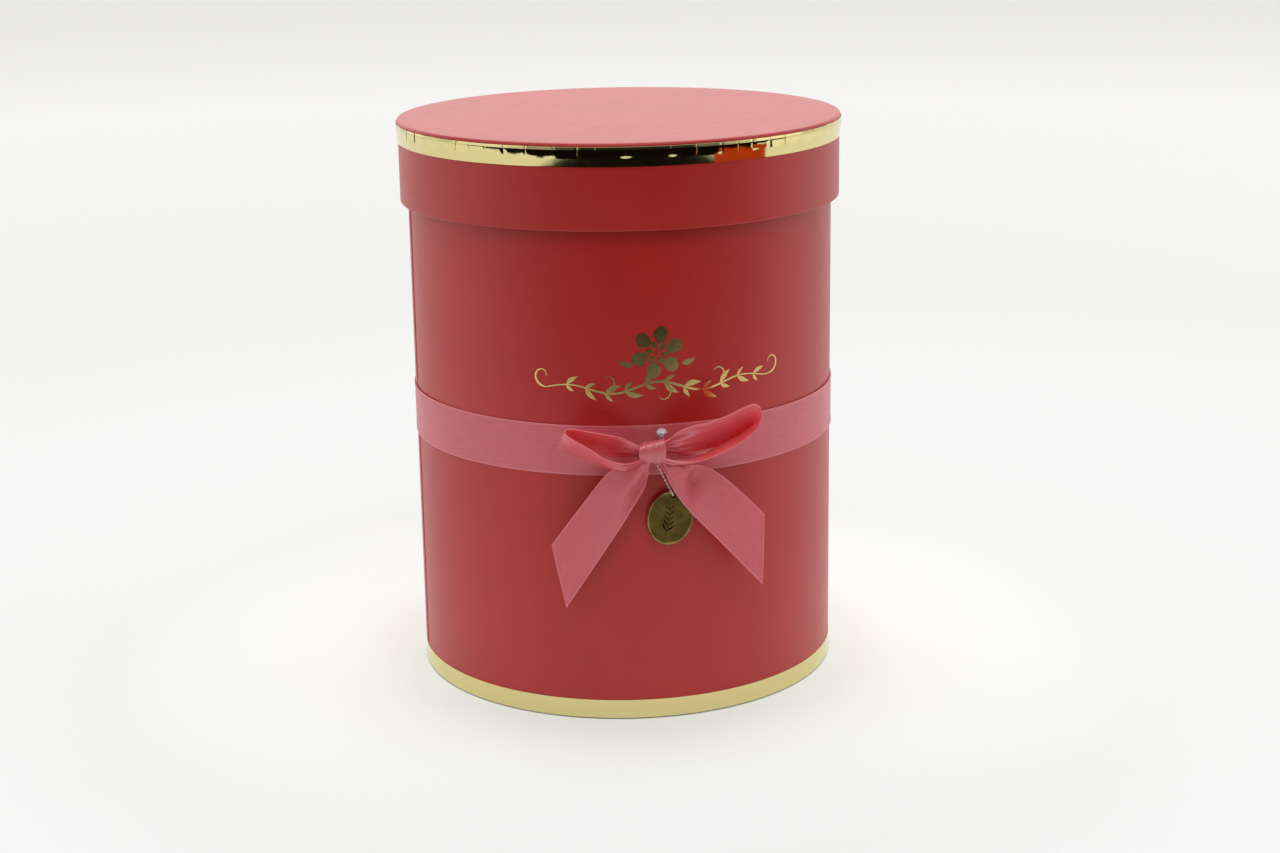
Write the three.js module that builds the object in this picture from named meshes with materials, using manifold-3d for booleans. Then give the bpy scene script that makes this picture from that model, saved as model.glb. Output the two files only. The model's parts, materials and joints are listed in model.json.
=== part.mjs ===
// A round two-piece rigid gift box for flowers: a wrapped board tube with a push-on lid, gold foil
// edge strips, a satin ribbon tied round it in a bow, a crystal-headed bow pin and an oval medal on
// a short ball chain. Millimetres, +Z up, the box's axis on Z, its underside at z = 0, the bow on -Y.

import * as THREE from "three";
import { mergeVertices } from "three/addons/utils/BufferGeometryUtils.js";
import Module from "manifold-3d";

const wasm = await Module();
wasm.setup();

// ---------------------------------------------------------------- driving dimensions

const BODY_RADIUS = 87.5; // outside of the body's wrap paper
const BODY_HEIGHT = 229; // underside to the body's rim
const LID_DEPTH = 33.5; // overall height of the lid
const LID_CLEARANCE = 0.75; // radial play between the body and the lid's lining
const SEAT_GAP = 0.3; // the body's rim to the lid's ceiling
const BODY_BOARD = 2.0; // greyboard of the tube, the base and the lid's top
const RIM_BOARD = 1.5; // greyboard of the lid's rim
const PAPER = 0.25; // wrap and lining papers
const FOIL = 0.15; // gold edge strips
const GLUE = 0.1; // adhesive line between two papers or boards
const CONTACT = 0.3; // gap between two pieces that only touch
const BODY_TURN_IN = 15; // wrap paper folded over the body's rim
const LID_TURN_IN = 12; // wrap paper folded up inside the lid
const LINER_DROP = 4; // the body's lining starts this far below the rim
const LID_LINER_RISE = 3; // the lid's lining starts this far above its lower edge
const BASE_COVER = 0.4; // underside paper
const BASE_COVER_INSET = 0.7; // the underside paper is this much smaller than the body
const TRIM_WIDTH = 7.6; // gold strips
const COVER_TAB = 5.5; // top paper turned down over the lid's edge
const COVER_LIP = 1.3; // red edge left showing above the lid's gold strip
const EDGE_ROUND = 0.35; // rounding of the lid's paper edge

const RIBBON_WIDTH = 20;
const BOW_POINTS_WIDTH = 20; // the ribbon width that the bow's points below are laid out for
const RIBBON_THICK = 0.4; // as modelled
const BAND_HEIGHT = 112; // centre of the ribbon band above the underside

const KNOT_FRONT = 10; // how far the bow's parts stand in front of the body
const KNOT_BACK = 4.5;
const KNOT_ROUND = 1.2;
const PAD_LEFT = -4;
const PAD_RIGHT = 2.2;
const PAD_BOTTOM = -2;
const PAD_TOP = 3.6;

const PIN_X = 4.2;
const PIN_OUT = 3.4; // the pin's axis in front of the body
const PIN_SHAFT_RADIUS = 0.35;
const PIN_TIP = -5.6; // heights along the pin, from the band's centre
const PIN_CUP_BOTTOM = 4.6;
const PIN_CUP_TOP = 5.6;
const CRYSTAL_GIRDLE = 7.8;
const CRYSTAL_TOP = 9.2;
const CRYSTAL_RADIUS = 2.2;

const MEDAL_WIDTH = 18;
const MEDAL_HEIGHT = 22;
const MEDAL_THICK = 1.2; // at the raised rim
const MEDAL_RIM = 1.1;
const MEDAL_RECESS = 0.2; // each face inside the rim
const MEDAL_LEAN = 9; // degrees, top towards +X
const MEDAL_HOLE_RADIUS = 0.9;
const MEDAL_HOLE_EDGE = 2; // the hole's centre below the medal's top
const RING_RADIUS = 1.7; // centre line of the jump ring
const RING_WIRE_RADIUS = 0.3;
const CHAIN_TOP = [2.9, -6.5]; // x, and height from the band's centre, where the chain leaves the knot
const MEDAL_EYE = [8.7, -18.6]; // x and height of the medal's hole
const BEAD_RADIUS = 0.6;
const BEAD_COUNT = 6;
const BEAD_NECK_RADIUS = 0.25;

const RING_SIDES = 48; // facets of every concentric round, so that their flats line up
const SMALL_SIDES = 12;

// ---------------------------------------------------------------- values worked out

const wrapInner = BODY_RADIUS - PAPER;
const tubeOuter = wrapInner - GLUE;
const tubeInner = tubeOuter - BODY_BOARD;
const turnInOuter = tubeInner - GLUE;
const turnInInner = turnInOuter - PAPER;
const linerOuterTop = turnInInner - GLUE;

const shellFoot = BASE_COVER + GLUE; // lower edge of the tube, its wrap and its gold strip
const baseTop = shellFoot + BODY_BOARD;
const floorTop = baseTop + GLUE + PAPER;

const lidLinerInner = BODY_RADIUS + LID_CLEARANCE;
const lidTurnInInner = lidLinerInner + PAPER + GLUE;
const lidTurnInOuter = lidTurnInInner + PAPER;
const lidBoardInner = lidTurnInOuter + GLUE;
const lidBoardOuter = lidBoardInner + RIM_BOARD;
const lidWrapInner = lidBoardOuter + GLUE;
const lidWrapOuter = lidWrapInner + PAPER;
const lidTabInner = lidWrapOuter + GLUE;
const lidTabOuter = lidTabInner + PAPER;

const ceilingFace = BODY_HEIGHT + SEAT_GAP;
const topBoardUnder = ceilingFace + PAPER + GLUE;
const topBoardFace = topBoardUnder + BODY_BOARD;
const lidTop = topBoardFace + GLUE + PAPER;
const lidFoot = lidTop - LID_DEPTH;

const bandInner = BODY_RADIUS + GLUE;
const bandOuter = bandInner + RIBBON_THICK;

// ---------------------------------------------------------------- shape helpers

// A solid of revolution about Z from points [radius, height], taken counter-clockwise round the section.
function revolve(profile, sides = RING_SIDES) {
  const points = profile.map(([r, z]) => new THREE.Vector2(r, z));
  const closed = profile[0][0] > 0 ? [...points, points[0].clone()] : points;
  return new THREE.LatheGeometry(closed, sides).rotateX(Math.PI / 2);
}

function hoop(inner, outer, bottom, top) {
  return revolve([[inner, bottom], [outer, bottom], [outer, top], [inner, top]]);
}

function disc(radius, bottom, top) {
  return revolve([[0, bottom], [radius, bottom], [radius, top], [0, top]]);
}

// A point of the bow: x, distance in front of the body's foremost line, height from the band's centre.
function bowPoint([x, out, height]) {
  return new THREE.Vector3(x, -(BODY_RADIUS + GLUE + RIBBON_THICK + out), BAND_HEIGHT + height);
}

// A strip of ribbon of even thickness. Each row holds its two edges, as bow points. A wider ribbon
// grows at its near edge, away from the body and the charm.
function strip(rows) {
  const far = rows.map((row) => bowPoint(row[1]));
  const near = rows.map((row, i) => bowPoint(row[0]).sub(far[i]));
  near.forEach((edge, i) => edge.multiplyScalar(RIBBON_WIDTH / BOW_POINTS_WIDTH).add(far[i]));
  const last = rows.length - 1;
  const positions = [];
  rows.forEach((_, i) => {
    const along = new THREE.Vector3()
      .addVectors(near[Math.min(i + 1, last)], far[Math.min(i + 1, last)])
      .sub(near[Math.max(i - 1, 0)])
      .sub(far[Math.max(i - 1, 0)]);
    const across = new THREE.Vector3().subVectors(far[i], near[i]);
    const half = new THREE.Vector3().crossVectors(along, across).setLength(RIBBON_THICK / 2);
    const corners = [
      near[i].clone().add(half),
      far[i].clone().add(half),
      far[i].clone().sub(half),
      near[i].clone().sub(half),
    ];
    corners.forEach((corner) => positions.push(...corner.toArray()));
  });
  const index = [];
  for (let i = 0; i < last; i += 1) {
    for (let k = 0; k < 4; k += 1) {
      const a = 4 * i + k;
      const b = 4 * i + ((k + 1) % 4);
      index.push(a, b + 4, b, a, a + 4, b + 4);
    }
  }
  const end = 4 * last;
  index.push(0, 1, 2, 0, 2, 3, end, end + 2, end + 1, end, end + 3, end + 2);
  const geometry = new THREE.BufferGeometry();
  geometry.setAttribute("position", new THREE.Float32BufferAttribute(positions, 3));
  geometry.setIndex(index);
  return geometry;
}

function toSolid(geometry) {
  const bare = geometry.clone();
  bare.deleteAttribute("normal");
  bare.deleteAttribute("uv");
  const merged = mergeVertices(bare, 1e-3);
  return new wasm.Manifold(
    new wasm.Mesh({
      numProp: 3,
      vertProperties: merged.attributes.position.array,
      triVerts: new Uint32Array(merged.index.array),
    }),
  );
}

function toGeometry(solid) {
  const mesh = solid.getMesh();
  const geometry = new THREE.BufferGeometry();
  geometry.setAttribute("position", new THREE.BufferAttribute(mesh.vertProperties, mesh.numProp));
  geometry.setIndex(new THREE.BufferAttribute(mesh.triVerts, 1));
  return geometry;
}

// ---------------------------------------------------------------- materials

const redPaper = { color: 0xa52c2a, roughness: 0.55, metalness: 0 };
const liningPaper = { color: 0xf1ece4, roughness: 0.8, metalness: 0 };
const greyBoard = { color: 0x9b9388, roughness: 0.9, metalness: 0 };
const goldFoil = { color: 0xd8c88a, roughness: 0.15, metalness: 1 };
const pinkSatin = { color: 0xc9636b, roughness: 0.4, metalness: 0 };
const hotGlue = { color: 0xe8e4d8, roughness: 0.4, metalness: 0 };
const silver = { color: 0xd0d0cc, roughness: 0.2, metalness: 1 };
const crystal = { color: 0xf2f5f7, roughness: 0.05, metalness: 0 };
const agedBrass = { color: 0x5c4a1e, roughness: 0.4, metalness: 1 };

const flowerBox = new THREE.Group();

function add(parent, name, geometry, finish) {
  const mesh = new THREE.Mesh(geometry, new THREE.MeshStandardMaterial(finish));
  mesh.name = name;
  parent.add(mesh);
  return mesh;
}

// ---------------------------------------------------------------- body of the box

function bodyWrap() {
  return revolve([
    [wrapInner, shellFoot],
    [BODY_RADIUS, shellFoot],
    [BODY_RADIUS, BODY_HEIGHT],
    [turnInInner, BODY_HEIGHT],
    [turnInInner, BODY_HEIGHT - BODY_TURN_IN],
    [turnInOuter, BODY_HEIGHT - BODY_TURN_IN],
    [turnInOuter, BODY_HEIGHT - PAPER],
    [wrapInner, BODY_HEIGHT - PAPER],
  ]);
}

// The lining lies on the tube, then steps inwards to lie over the wrap's turned-in edge.
function bodyLiner() {
  const step = BODY_HEIGHT - BODY_TURN_IN - CONTACT;
  const stepFoot = step - 1;
  const top = BODY_HEIGHT - LINER_DROP;
  return revolve([
    [turnInInner, floorTop + CONTACT],
    [turnInOuter, floorTop + CONTACT],
    [turnInOuter, stepFoot],
    [linerOuterTop, step],
    [linerOuterTop, top],
    [linerOuterTop - PAPER, top],
    [linerOuterTop - PAPER, step],
    [turnInInner, stepFoot],
  ]);
}

const body = new THREE.Group();
flowerBox.add(body);
add(body, "body_wrap", bodyWrap(), redPaper);
const tubeTop = BODY_HEIGHT - PAPER - GLUE;
add(body, "body_tube", hoop(tubeInner, tubeOuter, shellFoot, tubeTop), greyBoard);
add(body, "body_liner", bodyLiner(), liningPaper);
add(body, "base_board", disc(tubeInner - CONTACT, shellFoot, baseTop), greyBoard);
add(body, "base_cover", disc(BODY_RADIUS - BASE_COVER_INSET, 0, BASE_COVER), liningPaper);
add(body, "floor_liner", disc(turnInInner - CONTACT, baseTop + GLUE, floorTop), liningPaper);
const bodyTrimInner = BODY_RADIUS + GLUE;
const bodyTrimTop = shellFoot + TRIM_WIDTH;
add(body, "body_trim", hoop(bodyTrimInner, bodyTrimInner + FOIL, shellFoot, bodyTrimTop), goldFoil);

// ---------------------------------------------------------------- lid

function lidWrap() {
  return revolve([
    [lidTurnInInner, lidFoot],
    [lidWrapOuter, lidFoot],
    [lidWrapOuter, topBoardFace],
    [lidWrapInner, topBoardFace],
    [lidWrapInner, lidFoot + PAPER],
    [lidTurnInOuter, lidFoot + PAPER],
    [lidTurnInOuter, lidFoot + LID_TURN_IN],
    [lidTurnInInner, lidFoot + LID_TURN_IN],
  ]);
}

function lidLiner() {
  const foot = lidFoot + LID_LINER_RISE;
  const step = lidFoot + LID_TURN_IN + CONTACT;
  const stepTop = step + 1;
  const top = ceilingFace - CONTACT;
  const lower = lidLinerInner + PAPER;
  return revolve([
    [lidLinerInner, foot],
    [lower, foot],
    [lower, step],
    [lidTurnInOuter, stepTop],
    [lidTurnInOuter, top],
    [lidTurnInInner, top],
    [lidTurnInInner, stepTop],
    [lidLinerInner, step],
  ]);
}

function lidCover() {
  return revolve([
    [0, lidTop - PAPER],
    [lidTabInner, lidTop - PAPER],
    [lidTabInner, lidTop - COVER_TAB],
    [lidTabOuter, lidTop - COVER_TAB],
    [lidTabOuter, lidTop - EDGE_ROUND],
    [lidTabOuter - EDGE_ROUND, lidTop],
    [0, lidTop],
  ]);
}

// The strip lies over the cover's tabs at its top and on the rim's wrap below them.
function lidTrim() {
  const top = lidTop - COVER_LIP;
  const step = lidTop - COVER_TAB - CONTACT;
  const foot = top - TRIM_WIDTH;
  return revolve([
    [lidTabInner, foot],
    [lidTabInner + FOIL, foot],
    [lidTabInner + FOIL, step - CONTACT],
    [lidTabOuter + GLUE + FOIL, step],
    [lidTabOuter + GLUE + FOIL, top],
    [lidTabOuter + GLUE, top],
    [lidTabOuter + GLUE, step],
    [lidTabInner, step - CONTACT],
  ]);
}

const lid = new THREE.Group();
flowerBox.add(lid);
const rimBoardFoot = lidFoot + PAPER + GLUE;
const rimBoardTop = ceilingFace + PAPER;
add(lid, "lid_rim_board", hoop(lidBoardInner, lidBoardOuter, rimBoardFoot, rimBoardTop), greyBoard);
add(lid, "lid_top_board", disc(lidBoardOuter, topBoardUnder, topBoardFace), greyBoard);
add(lid, "lid_rim_wrap", lidWrap(), redPaper);
add(lid, "lid_rim_liner", lidLiner(), liningPaper);
const ceilingLiner = disc(lidBoardInner - CONTACT, ceilingFace, ceilingFace + PAPER);
add(lid, "lid_ceiling_liner", ceilingLiner, liningPaper);
add(lid, "lid_top_cover", lidCover(), redPaper);
add(lid, "lid_trim", lidTrim(), goldFoil);

// ---------------------------------------------------------------- ribbon band and bow

const leftLoopRows = [
  [[-5.6, 8.5, 3.4], [-5.6, 5.0, -0.6]],
  [[-10, 10.5, 6.3], [-10.5, 2.0, -2.5]],
  [[-19.2, 13.2, 9.5], [-20, 0.9, -2.0]],
  [[-28, 15.3, 11.8], [-29, 0.4, 0.5]],
  [[-33.2, 16.2, 13.2], [-34.6, 0.2, 2.4]],
  [[-34.8, 17.3, 11.9], [-36.3, 1.2, 0.6]],
  [[-34.0, 18.2, 9.8], [-35.4, 2.4, -1.4]],
  [[-30, 18.5, 7.2], [-30, 3.6, -4.2]],
  [[-22.7, 17, 3.0], [-20, 5.0, -6.0]],
  [[-14, 13.5, -0.3], [-12.5, 7.0, -5.0]],
  [[-6.0, 10.2, -0.6], [-6.0, 7.0, -3.6]],
];

const rightLoopRows = [
  [[5.6, 9.0, 5.2], [5.6, 5.4, 1.2]],
  [[12, 11.0, 9.6], [13, 3.0, 0.5]],
  [[21.6, 13.0, 13.6], [23.5, 1.0, 2.2]],
  [[30, 14.6, 17.6], [32.5, 0.4, 5.4]],
  [[36.8, 15.2, 20.2], [38.2, 0.5, 8.0]],
  [[40.0, 15.0, 19.0], [40.8, 1.6, 7.4]],
  [[40.6, 14.6, 15.6], [40.8, 2.4, 5.8]],
  [[37.5, 14.3, 10.8], [37.4, 2.9, 3.4]],
  [[32, 14, 6.6], [31, 3.2, 0.8]],
  [[22.2, 13.6, 1.3], [22.5, 4.0, -1.6]],
  [[14, 12, -1.4], [14, 5.5, -3.4]],
  [[6, 10.4, -1.2], [6, 6.8, -3.2]],
];

const leftTailRows = [
  [[-6.0, 6.6, -5.2], [0.6, 7.2, -5.6]],
  [[-14.0, 6.5, -8.0], [-3.2, 6.8, -12]],
  [[-27, 4.5, -20.5], [-16.5, 4.6, -36]],
  [[-39.7, 2, -35.2], [-34.5, 2, -62.3]],
];

const rightTailRows = [
  [[6.6, 7.6, -4.6], [1.5, 7.6, -5.4]],
  [[20.5, 7, -6.6], [6.0, 7, -10.5]],
  [[27.8, 6.2, -10.9], [15.6, 6.2, -24.4]],
  [[36, 4.2, -19], [28, 4.2, -40.5]],
  [[44.4, 2, -27.7], [44.0, 2, -57.5]],
];

// The knot's wrap, wider at its right-hand side, seen from the front and given its depth along Y.
function knot() {
  const outline = new THREE.Shape([
    new THREE.Vector2(-5.3 + KNOT_ROUND, 3.9 - KNOT_ROUND),
    new THREE.Vector2(-4.6 + KNOT_ROUND, -2.4 + KNOT_ROUND),
    new THREE.Vector2(4.1 - KNOT_ROUND, -3.9 + KNOT_ROUND),
    new THREE.Vector2(4.9 - KNOT_ROUND, 6.0 - KNOT_ROUND),
  ]);
  const depth = KNOT_FRONT - KNOT_BACK - 2 * KNOT_ROUND;
  const block = new THREE.ExtrudeGeometry(outline, {
    depth,
    bevelEnabled: true,
    bevelThickness: KNOT_ROUND,
    bevelSize: KNOT_ROUND,
    bevelSegments: 3,
    curveSegments: 4,
  });
  const front = bowPoint([0, KNOT_BACK + KNOT_ROUND, 0]);
  return block.rotateX(Math.PI / 2).translate(0, front.y, front.z);
}

function gluePad() {
  const low = bowPoint([PAD_LEFT, CONTACT, PAD_BOTTOM]);
  const high = bowPoint([PAD_RIGHT, KNOT_BACK - CONTACT, PAD_TOP]);
  const size = high.clone().sub(low);
  const middle = high.clone().add(low).multiplyScalar(0.5);
  return new THREE.BoxGeometry(size.x, -size.y, size.z).translate(middle.x, middle.y, middle.z);
}

const bandFoot = BAND_HEIGHT - RIBBON_WIDTH / 2;
const bow = new THREE.Group();
flowerBox.add(bow);
add(bow, "ribbon_band", hoop(bandInner, bandOuter, bandFoot, bandFoot + RIBBON_WIDTH), pinkSatin);
add(bow, "bow_left_loop", strip(leftLoopRows), pinkSatin);
add(bow, "bow_right_loop", strip(rightLoopRows), pinkSatin);
add(bow, "bow_left_tail", strip(leftTailRows), pinkSatin);
add(bow, "bow_right_tail", strip(rightTailRows), pinkSatin);
add(bow, "bow_knot", knot(), pinkSatin);
add(bow, "bow_glue_pad", gluePad(), hotGlue);

// ---------------------------------------------------------------- crystal-headed bow pin

const pin = new THREE.Group();
pin.position.copy(bowPoint([PIN_X, PIN_OUT, 0]));
flowerBox.add(pin);
const pinShaft = [
  [0, PIN_TIP],
  [PIN_SHAFT_RADIUS, PIN_TIP + 2],
  [PIN_SHAFT_RADIUS, PIN_CUP_BOTTOM - CONTACT],
  [0, PIN_CUP_BOTTOM - CONTACT],
];
const pinCup = [
  [0, PIN_CUP_BOTTOM],
  [0.5, PIN_CUP_BOTTOM],
  [0.9, PIN_CUP_TOP],
  [0, PIN_CUP_TOP],
];
const pinCrystal = [
  [0, PIN_CUP_TOP + CONTACT],
  [0.7, PIN_CUP_TOP + CONTACT],
  [CRYSTAL_RADIUS, CRYSTAL_GIRDLE - 0.2],
  [CRYSTAL_RADIUS, CRYSTAL_GIRDLE + 0.2],
  [0.6 * CRYSTAL_RADIUS, CRYSTAL_TOP],
  [0, CRYSTAL_TOP],
];
add(pin, "pin_shaft", revolve(pinShaft, SMALL_SIDES), silver);
add(pin, "pin_cup", revolve(pinCup, SMALL_SIDES), silver);
add(pin, "pin_crystal", revolve(pinCrystal, SMALL_SIDES), crystal);

// ---------------------------------------------------------------- ball chain, jump ring and medal

const charmOut = RING_RADIUS + RING_WIRE_RADIUS + CONTACT - GLUE - RIBBON_THICK;
const chainTop = bowPoint([CHAIN_TOP[0], charmOut, CHAIN_TOP[1]]);
const medalEye = bowPoint([MEDAL_EYE[0], charmOut, MEDAL_EYE[1]]);
const chainRun = chainTop.distanceTo(medalEye);
const chainLean = Math.atan2(chainTop.x - medalEye.x, chainTop.z - medalEye.z);

// Beads on short necks, as one solid of revolution from the ring up to the knot.
function ballChain() {
  const foot = 2 * RING_RADIUS + RING_WIRE_RADIUS + CONTACT;
  const pitch = (chainRun - foot) / BEAD_COUNT;
  const half = (2 * pitch) / 5;
  const profile = [[0, foot]];
  for (let i = 0; i < BEAD_COUNT; i += 1) {
    const middle = foot + pitch * (i + 0.5);
    if (i > 0) profile.push([BEAD_NECK_RADIUS, middle - half]);
    profile.push([BEAD_RADIUS, middle - half / 2]);
    profile.push([BEAD_RADIUS, middle + half / 2]);
    if (i < BEAD_COUNT - 1) profile.push([BEAD_NECK_RADIUS, middle + half]);
  }
  profile.push([0, foot + pitch * BEAD_COUNT]);
  return revolve(profile, 8);
}

// An oval coin with a raised rim, and a hole near its top for the jump ring. The eye is the origin.
function medal() {
  const half = MEDAL_THICK / 2;
  const radius = MEDAL_HEIGHT / 2;
  const coin = revolve([
    [0, MEDAL_RECESS - half],
    [radius - MEDAL_RIM, MEDAL_RECESS - half],
    [radius - MEDAL_RIM, -half],
    [radius, -half],
    [radius, half],
    [radius - MEDAL_RIM, half],
    [radius - MEDAL_RIM, half - MEDAL_RECESS],
    [0, half - MEDAL_RECESS],
  ]);
  coin.rotateX(Math.PI / 2).scale(MEDAL_WIDTH / MEDAL_HEIGHT, 1, 1);
  coin.translate(0, 0, MEDAL_HOLE_EDGE - radius);
  const drill = new THREE.CylinderGeometry(MEDAL_HOLE_RADIUS, MEDAL_HOLE_RADIUS, 4 * MEDAL_THICK, 16);
  return toGeometry(toSolid(coin).subtract(toSolid(drill)));
}

const chain = new THREE.Group();
chain.position.copy(medalEye);
chain.rotation.y = chainLean;
flowerBox.add(chain);
add(chain, "ball_chain", ballChain(), silver);
const jumpRing = new THREE.TorusGeometry(RING_RADIUS, RING_WIRE_RADIUS, 8, 20);
add(chain, "jump_ring", jumpRing.rotateY(Math.PI / 2).translate(0, 0, RING_RADIUS), silver);

const charm = new THREE.Group();
charm.position.copy(medalEye);
charm.rotation.y = THREE.MathUtils.degToRad(MEDAL_LEAN);
flowerBox.add(charm);
add(charm, "medal", medal(), agedBrass);

export default flowerBox;
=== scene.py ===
"""A round two-piece flower box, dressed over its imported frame: papers, foil, satin bow, pin and medal."""

import json
import logging
import math
import random
from collections.abc import Callable, Iterator, Sequence
from contextlib import contextmanager
from dataclasses import dataclass, field
from enum import Enum

import bmesh
import bpy
import numpy as np
from mathutils import Matrix, Vector


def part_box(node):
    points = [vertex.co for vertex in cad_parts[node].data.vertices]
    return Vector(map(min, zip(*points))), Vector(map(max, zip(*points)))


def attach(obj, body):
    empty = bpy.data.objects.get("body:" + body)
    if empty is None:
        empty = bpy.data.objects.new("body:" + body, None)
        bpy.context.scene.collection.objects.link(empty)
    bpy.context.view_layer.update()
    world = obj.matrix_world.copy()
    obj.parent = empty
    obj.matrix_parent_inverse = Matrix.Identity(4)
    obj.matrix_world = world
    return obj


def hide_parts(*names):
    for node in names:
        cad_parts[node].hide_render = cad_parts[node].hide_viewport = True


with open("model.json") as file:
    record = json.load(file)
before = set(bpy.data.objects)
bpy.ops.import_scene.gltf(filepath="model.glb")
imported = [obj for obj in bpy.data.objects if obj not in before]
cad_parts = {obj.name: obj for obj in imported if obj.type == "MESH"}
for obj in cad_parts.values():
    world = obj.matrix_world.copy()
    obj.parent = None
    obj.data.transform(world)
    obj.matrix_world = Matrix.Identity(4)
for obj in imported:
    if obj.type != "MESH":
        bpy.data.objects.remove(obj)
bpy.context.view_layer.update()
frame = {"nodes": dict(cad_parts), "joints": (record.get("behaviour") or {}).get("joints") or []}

LOG = logging.getLogger("flower_box")
MM = 0.001
ROUND_STEPS = 288  # facets of the large rounds

Point2 = tuple[float, float]
Point3 = tuple[float, float, float]
Face = tuple[int, ...]
Source = bpy.types.Node | bpy.types.NodeSocket  # a node stands for its first output


class Body(Enum):
    """The frame's bodies, by what they carry."""

    BOX = "box"
    LID = "lid"
    PIN = "bow_pin"
    CHAIN = "chain"
    CHARM = "charm"


class Slot(Enum):
    """The record's material slots."""

    RED_PAPER = "red_paper"
    LINING_PAPER = "lining_paper"
    GREYBOARD = "greyboard"
    GOLD_FOIL = "gold_foil"
    PINK_SATIN = "pink_satin"
    HOT_GLUE = "hot_glue"
    PLATED_STEEL = "plated_steel"
    CRYSTAL = "crystal"
    AGED_BRASS = "aged_brass"


# ---------------------------------------------------------------- node and mesh helpers


def linear(colour: str) -> tuple[float, float, float, float]:
    """Turns an sRGB hex colour into linear RGBA.

    Args:
        colour: Six hex digits, such as "B21D12".

    Returns:
        The linear colour with an alpha of 1.
    """
    channels = [int(colour[i : i + 2], 16) / 255 for i in (0, 2, 4)]
    low = [c / 12.92 if c <= 0.04045 else ((c + 0.055) / 1.055) ** 2.4 for c in channels]
    return low[0], low[1], low[2], 1.0


def add_node(
    tree: bpy.types.NodeTree,
    kind: str,
    links: dict[str | int, Source] | None = None,
    values: dict[str | int, object] | None = None,
    **settings: object,
) -> bpy.types.Node:
    """Adds a node with its settings, its own values and its links.

    Args:
        tree: The node tree that takes the node.
        kind: The node's type name.
        links: What feeds the node, by input name or place: a socket, or a node for its first output.
        values: Constants for the node's inputs, by name or place.
        **settings: The node's own properties.

    Returns:
        The new node.
    """
    node = tree.nodes.new(kind)
    for key, value in settings.items():
        setattr(node, key, value)
    for key, value in (values or {}).items():
        node.inputs[key].default_value = value
    for key, source in (links or {}).items():
        socket = source.outputs[0] if isinstance(source, bpy.types.Node) else source
        tree.links.new(socket, node.inputs[key])
    return node


def colour_ramp(
    tree: bpy.types.NodeTree, amount: Source, stops: Sequence[tuple[float, str]]
) -> bpy.types.Node:
    """Adds a ramp of sRGB hex stops over a value."""
    ramp = add_node(tree, "ShaderNodeValToRGB", {"Fac": amount})
    elements = ramp.color_ramp.elements
    while len(elements) < len(stops):
        elements.new(0.5)
    for element, (place, colour) in zip(elements, stops):
        element.position = place
        element.color = linear(colour)
    return ramp


def linked(name: str, data: bpy.types.ID) -> bpy.types.Object:
    """Makes an object of some data and links it to the scene."""
    made = bpy.data.objects.new(name, data)
    bpy.context.scene.collection.objects.link(made)
    return made


def new_object(name: str, vertices: np.ndarray, faces: Sequence[Sequence[int]]) -> bpy.types.Object:
    """Makes a linked mesh object at the origin.

    Args:
        name: The piece's name.
        vertices: Points in metres, one row each.
        faces: Corner numbers of each face.

    Returns:
        The new object.
    """
    mesh = bpy.data.meshes.new(name)
    mesh.from_pydata([tuple(map(float, v)) for v in vertices], [], [list(f) for f in faces])
    mesh.validate()
    return linked(name, mesh)


def grid_faces(rows: int, columns: int, closed: bool = False, base: int = 0) -> list[Face]:
    """The faces of a grid of points.

    Args:
        rows: Rows of points.
        columns: Points in each row.
        closed: Whether each row's end joins its start.
        base: The first point's number.

    Returns:
        Corner numbers, row by row.
    """
    starts = [base + r * columns for r in range(rows - 1)]
    pairs = [(c, (c + 1) % columns) for c in range(columns if closed else columns - 1)]
    return [(s + c, s + d, s + columns + d, s + columns + c) for s in starts for c, d in pairs]


@contextmanager
def edited(mesh: bpy.types.Mesh) -> Iterator[bmesh.types.BMesh]:
    """Opens a mesh for editing and writes it back afterwards."""
    shape = bmesh.new()
    shape.from_mesh(mesh)
    yield shape
    shape.to_mesh(mesh)
    shape.free()


def shade(piece: bpy.types.Object, sharp_degrees: float) -> None:
    """Shades a piece smooth, with edges that bend more than an angle kept crisp."""
    piece.data.shade_smooth()
    piece.data.set_sharp_from_angle(angle=math.radians(sharp_degrees))


def face_outwards(piece: bpy.types.Object, sharp_degrees: float = 35.0) -> None:
    """Turns a closed mesh's faces outwards and shades it smooth up to an edge angle."""
    with edited(piece.data) as shape:
        bmesh.ops.remove_doubles(shape, verts=shape.verts, dist=1e-7)
        bmesh.ops.recalc_face_normals(shape, faces=shape.faces)
    shade(piece, sharp_degrees)


def baked(piece: bpy.types.Object) -> bpy.types.Object:
    """Turns a piece and its modifiers into a plain mesh under the same name."""
    mesh = bpy.data.meshes.new_from_object(piece.evaluated_get(bpy.context.evaluated_depsgraph_get()))
    name = piece.name
    piece.modifiers.clear()
    bpy.data.objects.remove(piece)
    mesh.name = name
    return linked(name, mesh)


def thickened(piece: bpy.types.Object, thick: float, offset: float = 0.0) -> bpy.types.Object:
    """Gives a sheet its thickness, in millimetres, and returns it as a plain mesh."""
    wall = piece.modifiers.new("thickness", "SOLIDIFY")
    wall.thickness = thick * MM
    wall.offset = offset
    return baked(piece)


def mount_piece(
    piece: bpy.types.Object,
    body: Body,
    finish: "Finish | None" = None,
    replaces: Sequence[str] = (),
) -> bpy.types.Object:
    """Dresses a finished piece and fixes it to its body.

    Args:
        piece: The finished mesh, in place.
        body: The body it rides on.
        finish: Its material; left out where the mesh already has one.
        replaces: The CAD nodes it stands for.

    Returns:
        The same piece.
    """
    if finish is not None:
        piece.data.materials.clear()
        piece.data.materials.append(finish.material())
    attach(piece, body.value)
    if replaces:
        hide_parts(*replaces)
    LOG.info("%s rides on %s with %d faces", piece.name, body.value, len(piece.data.polygons))
    return piece


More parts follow.
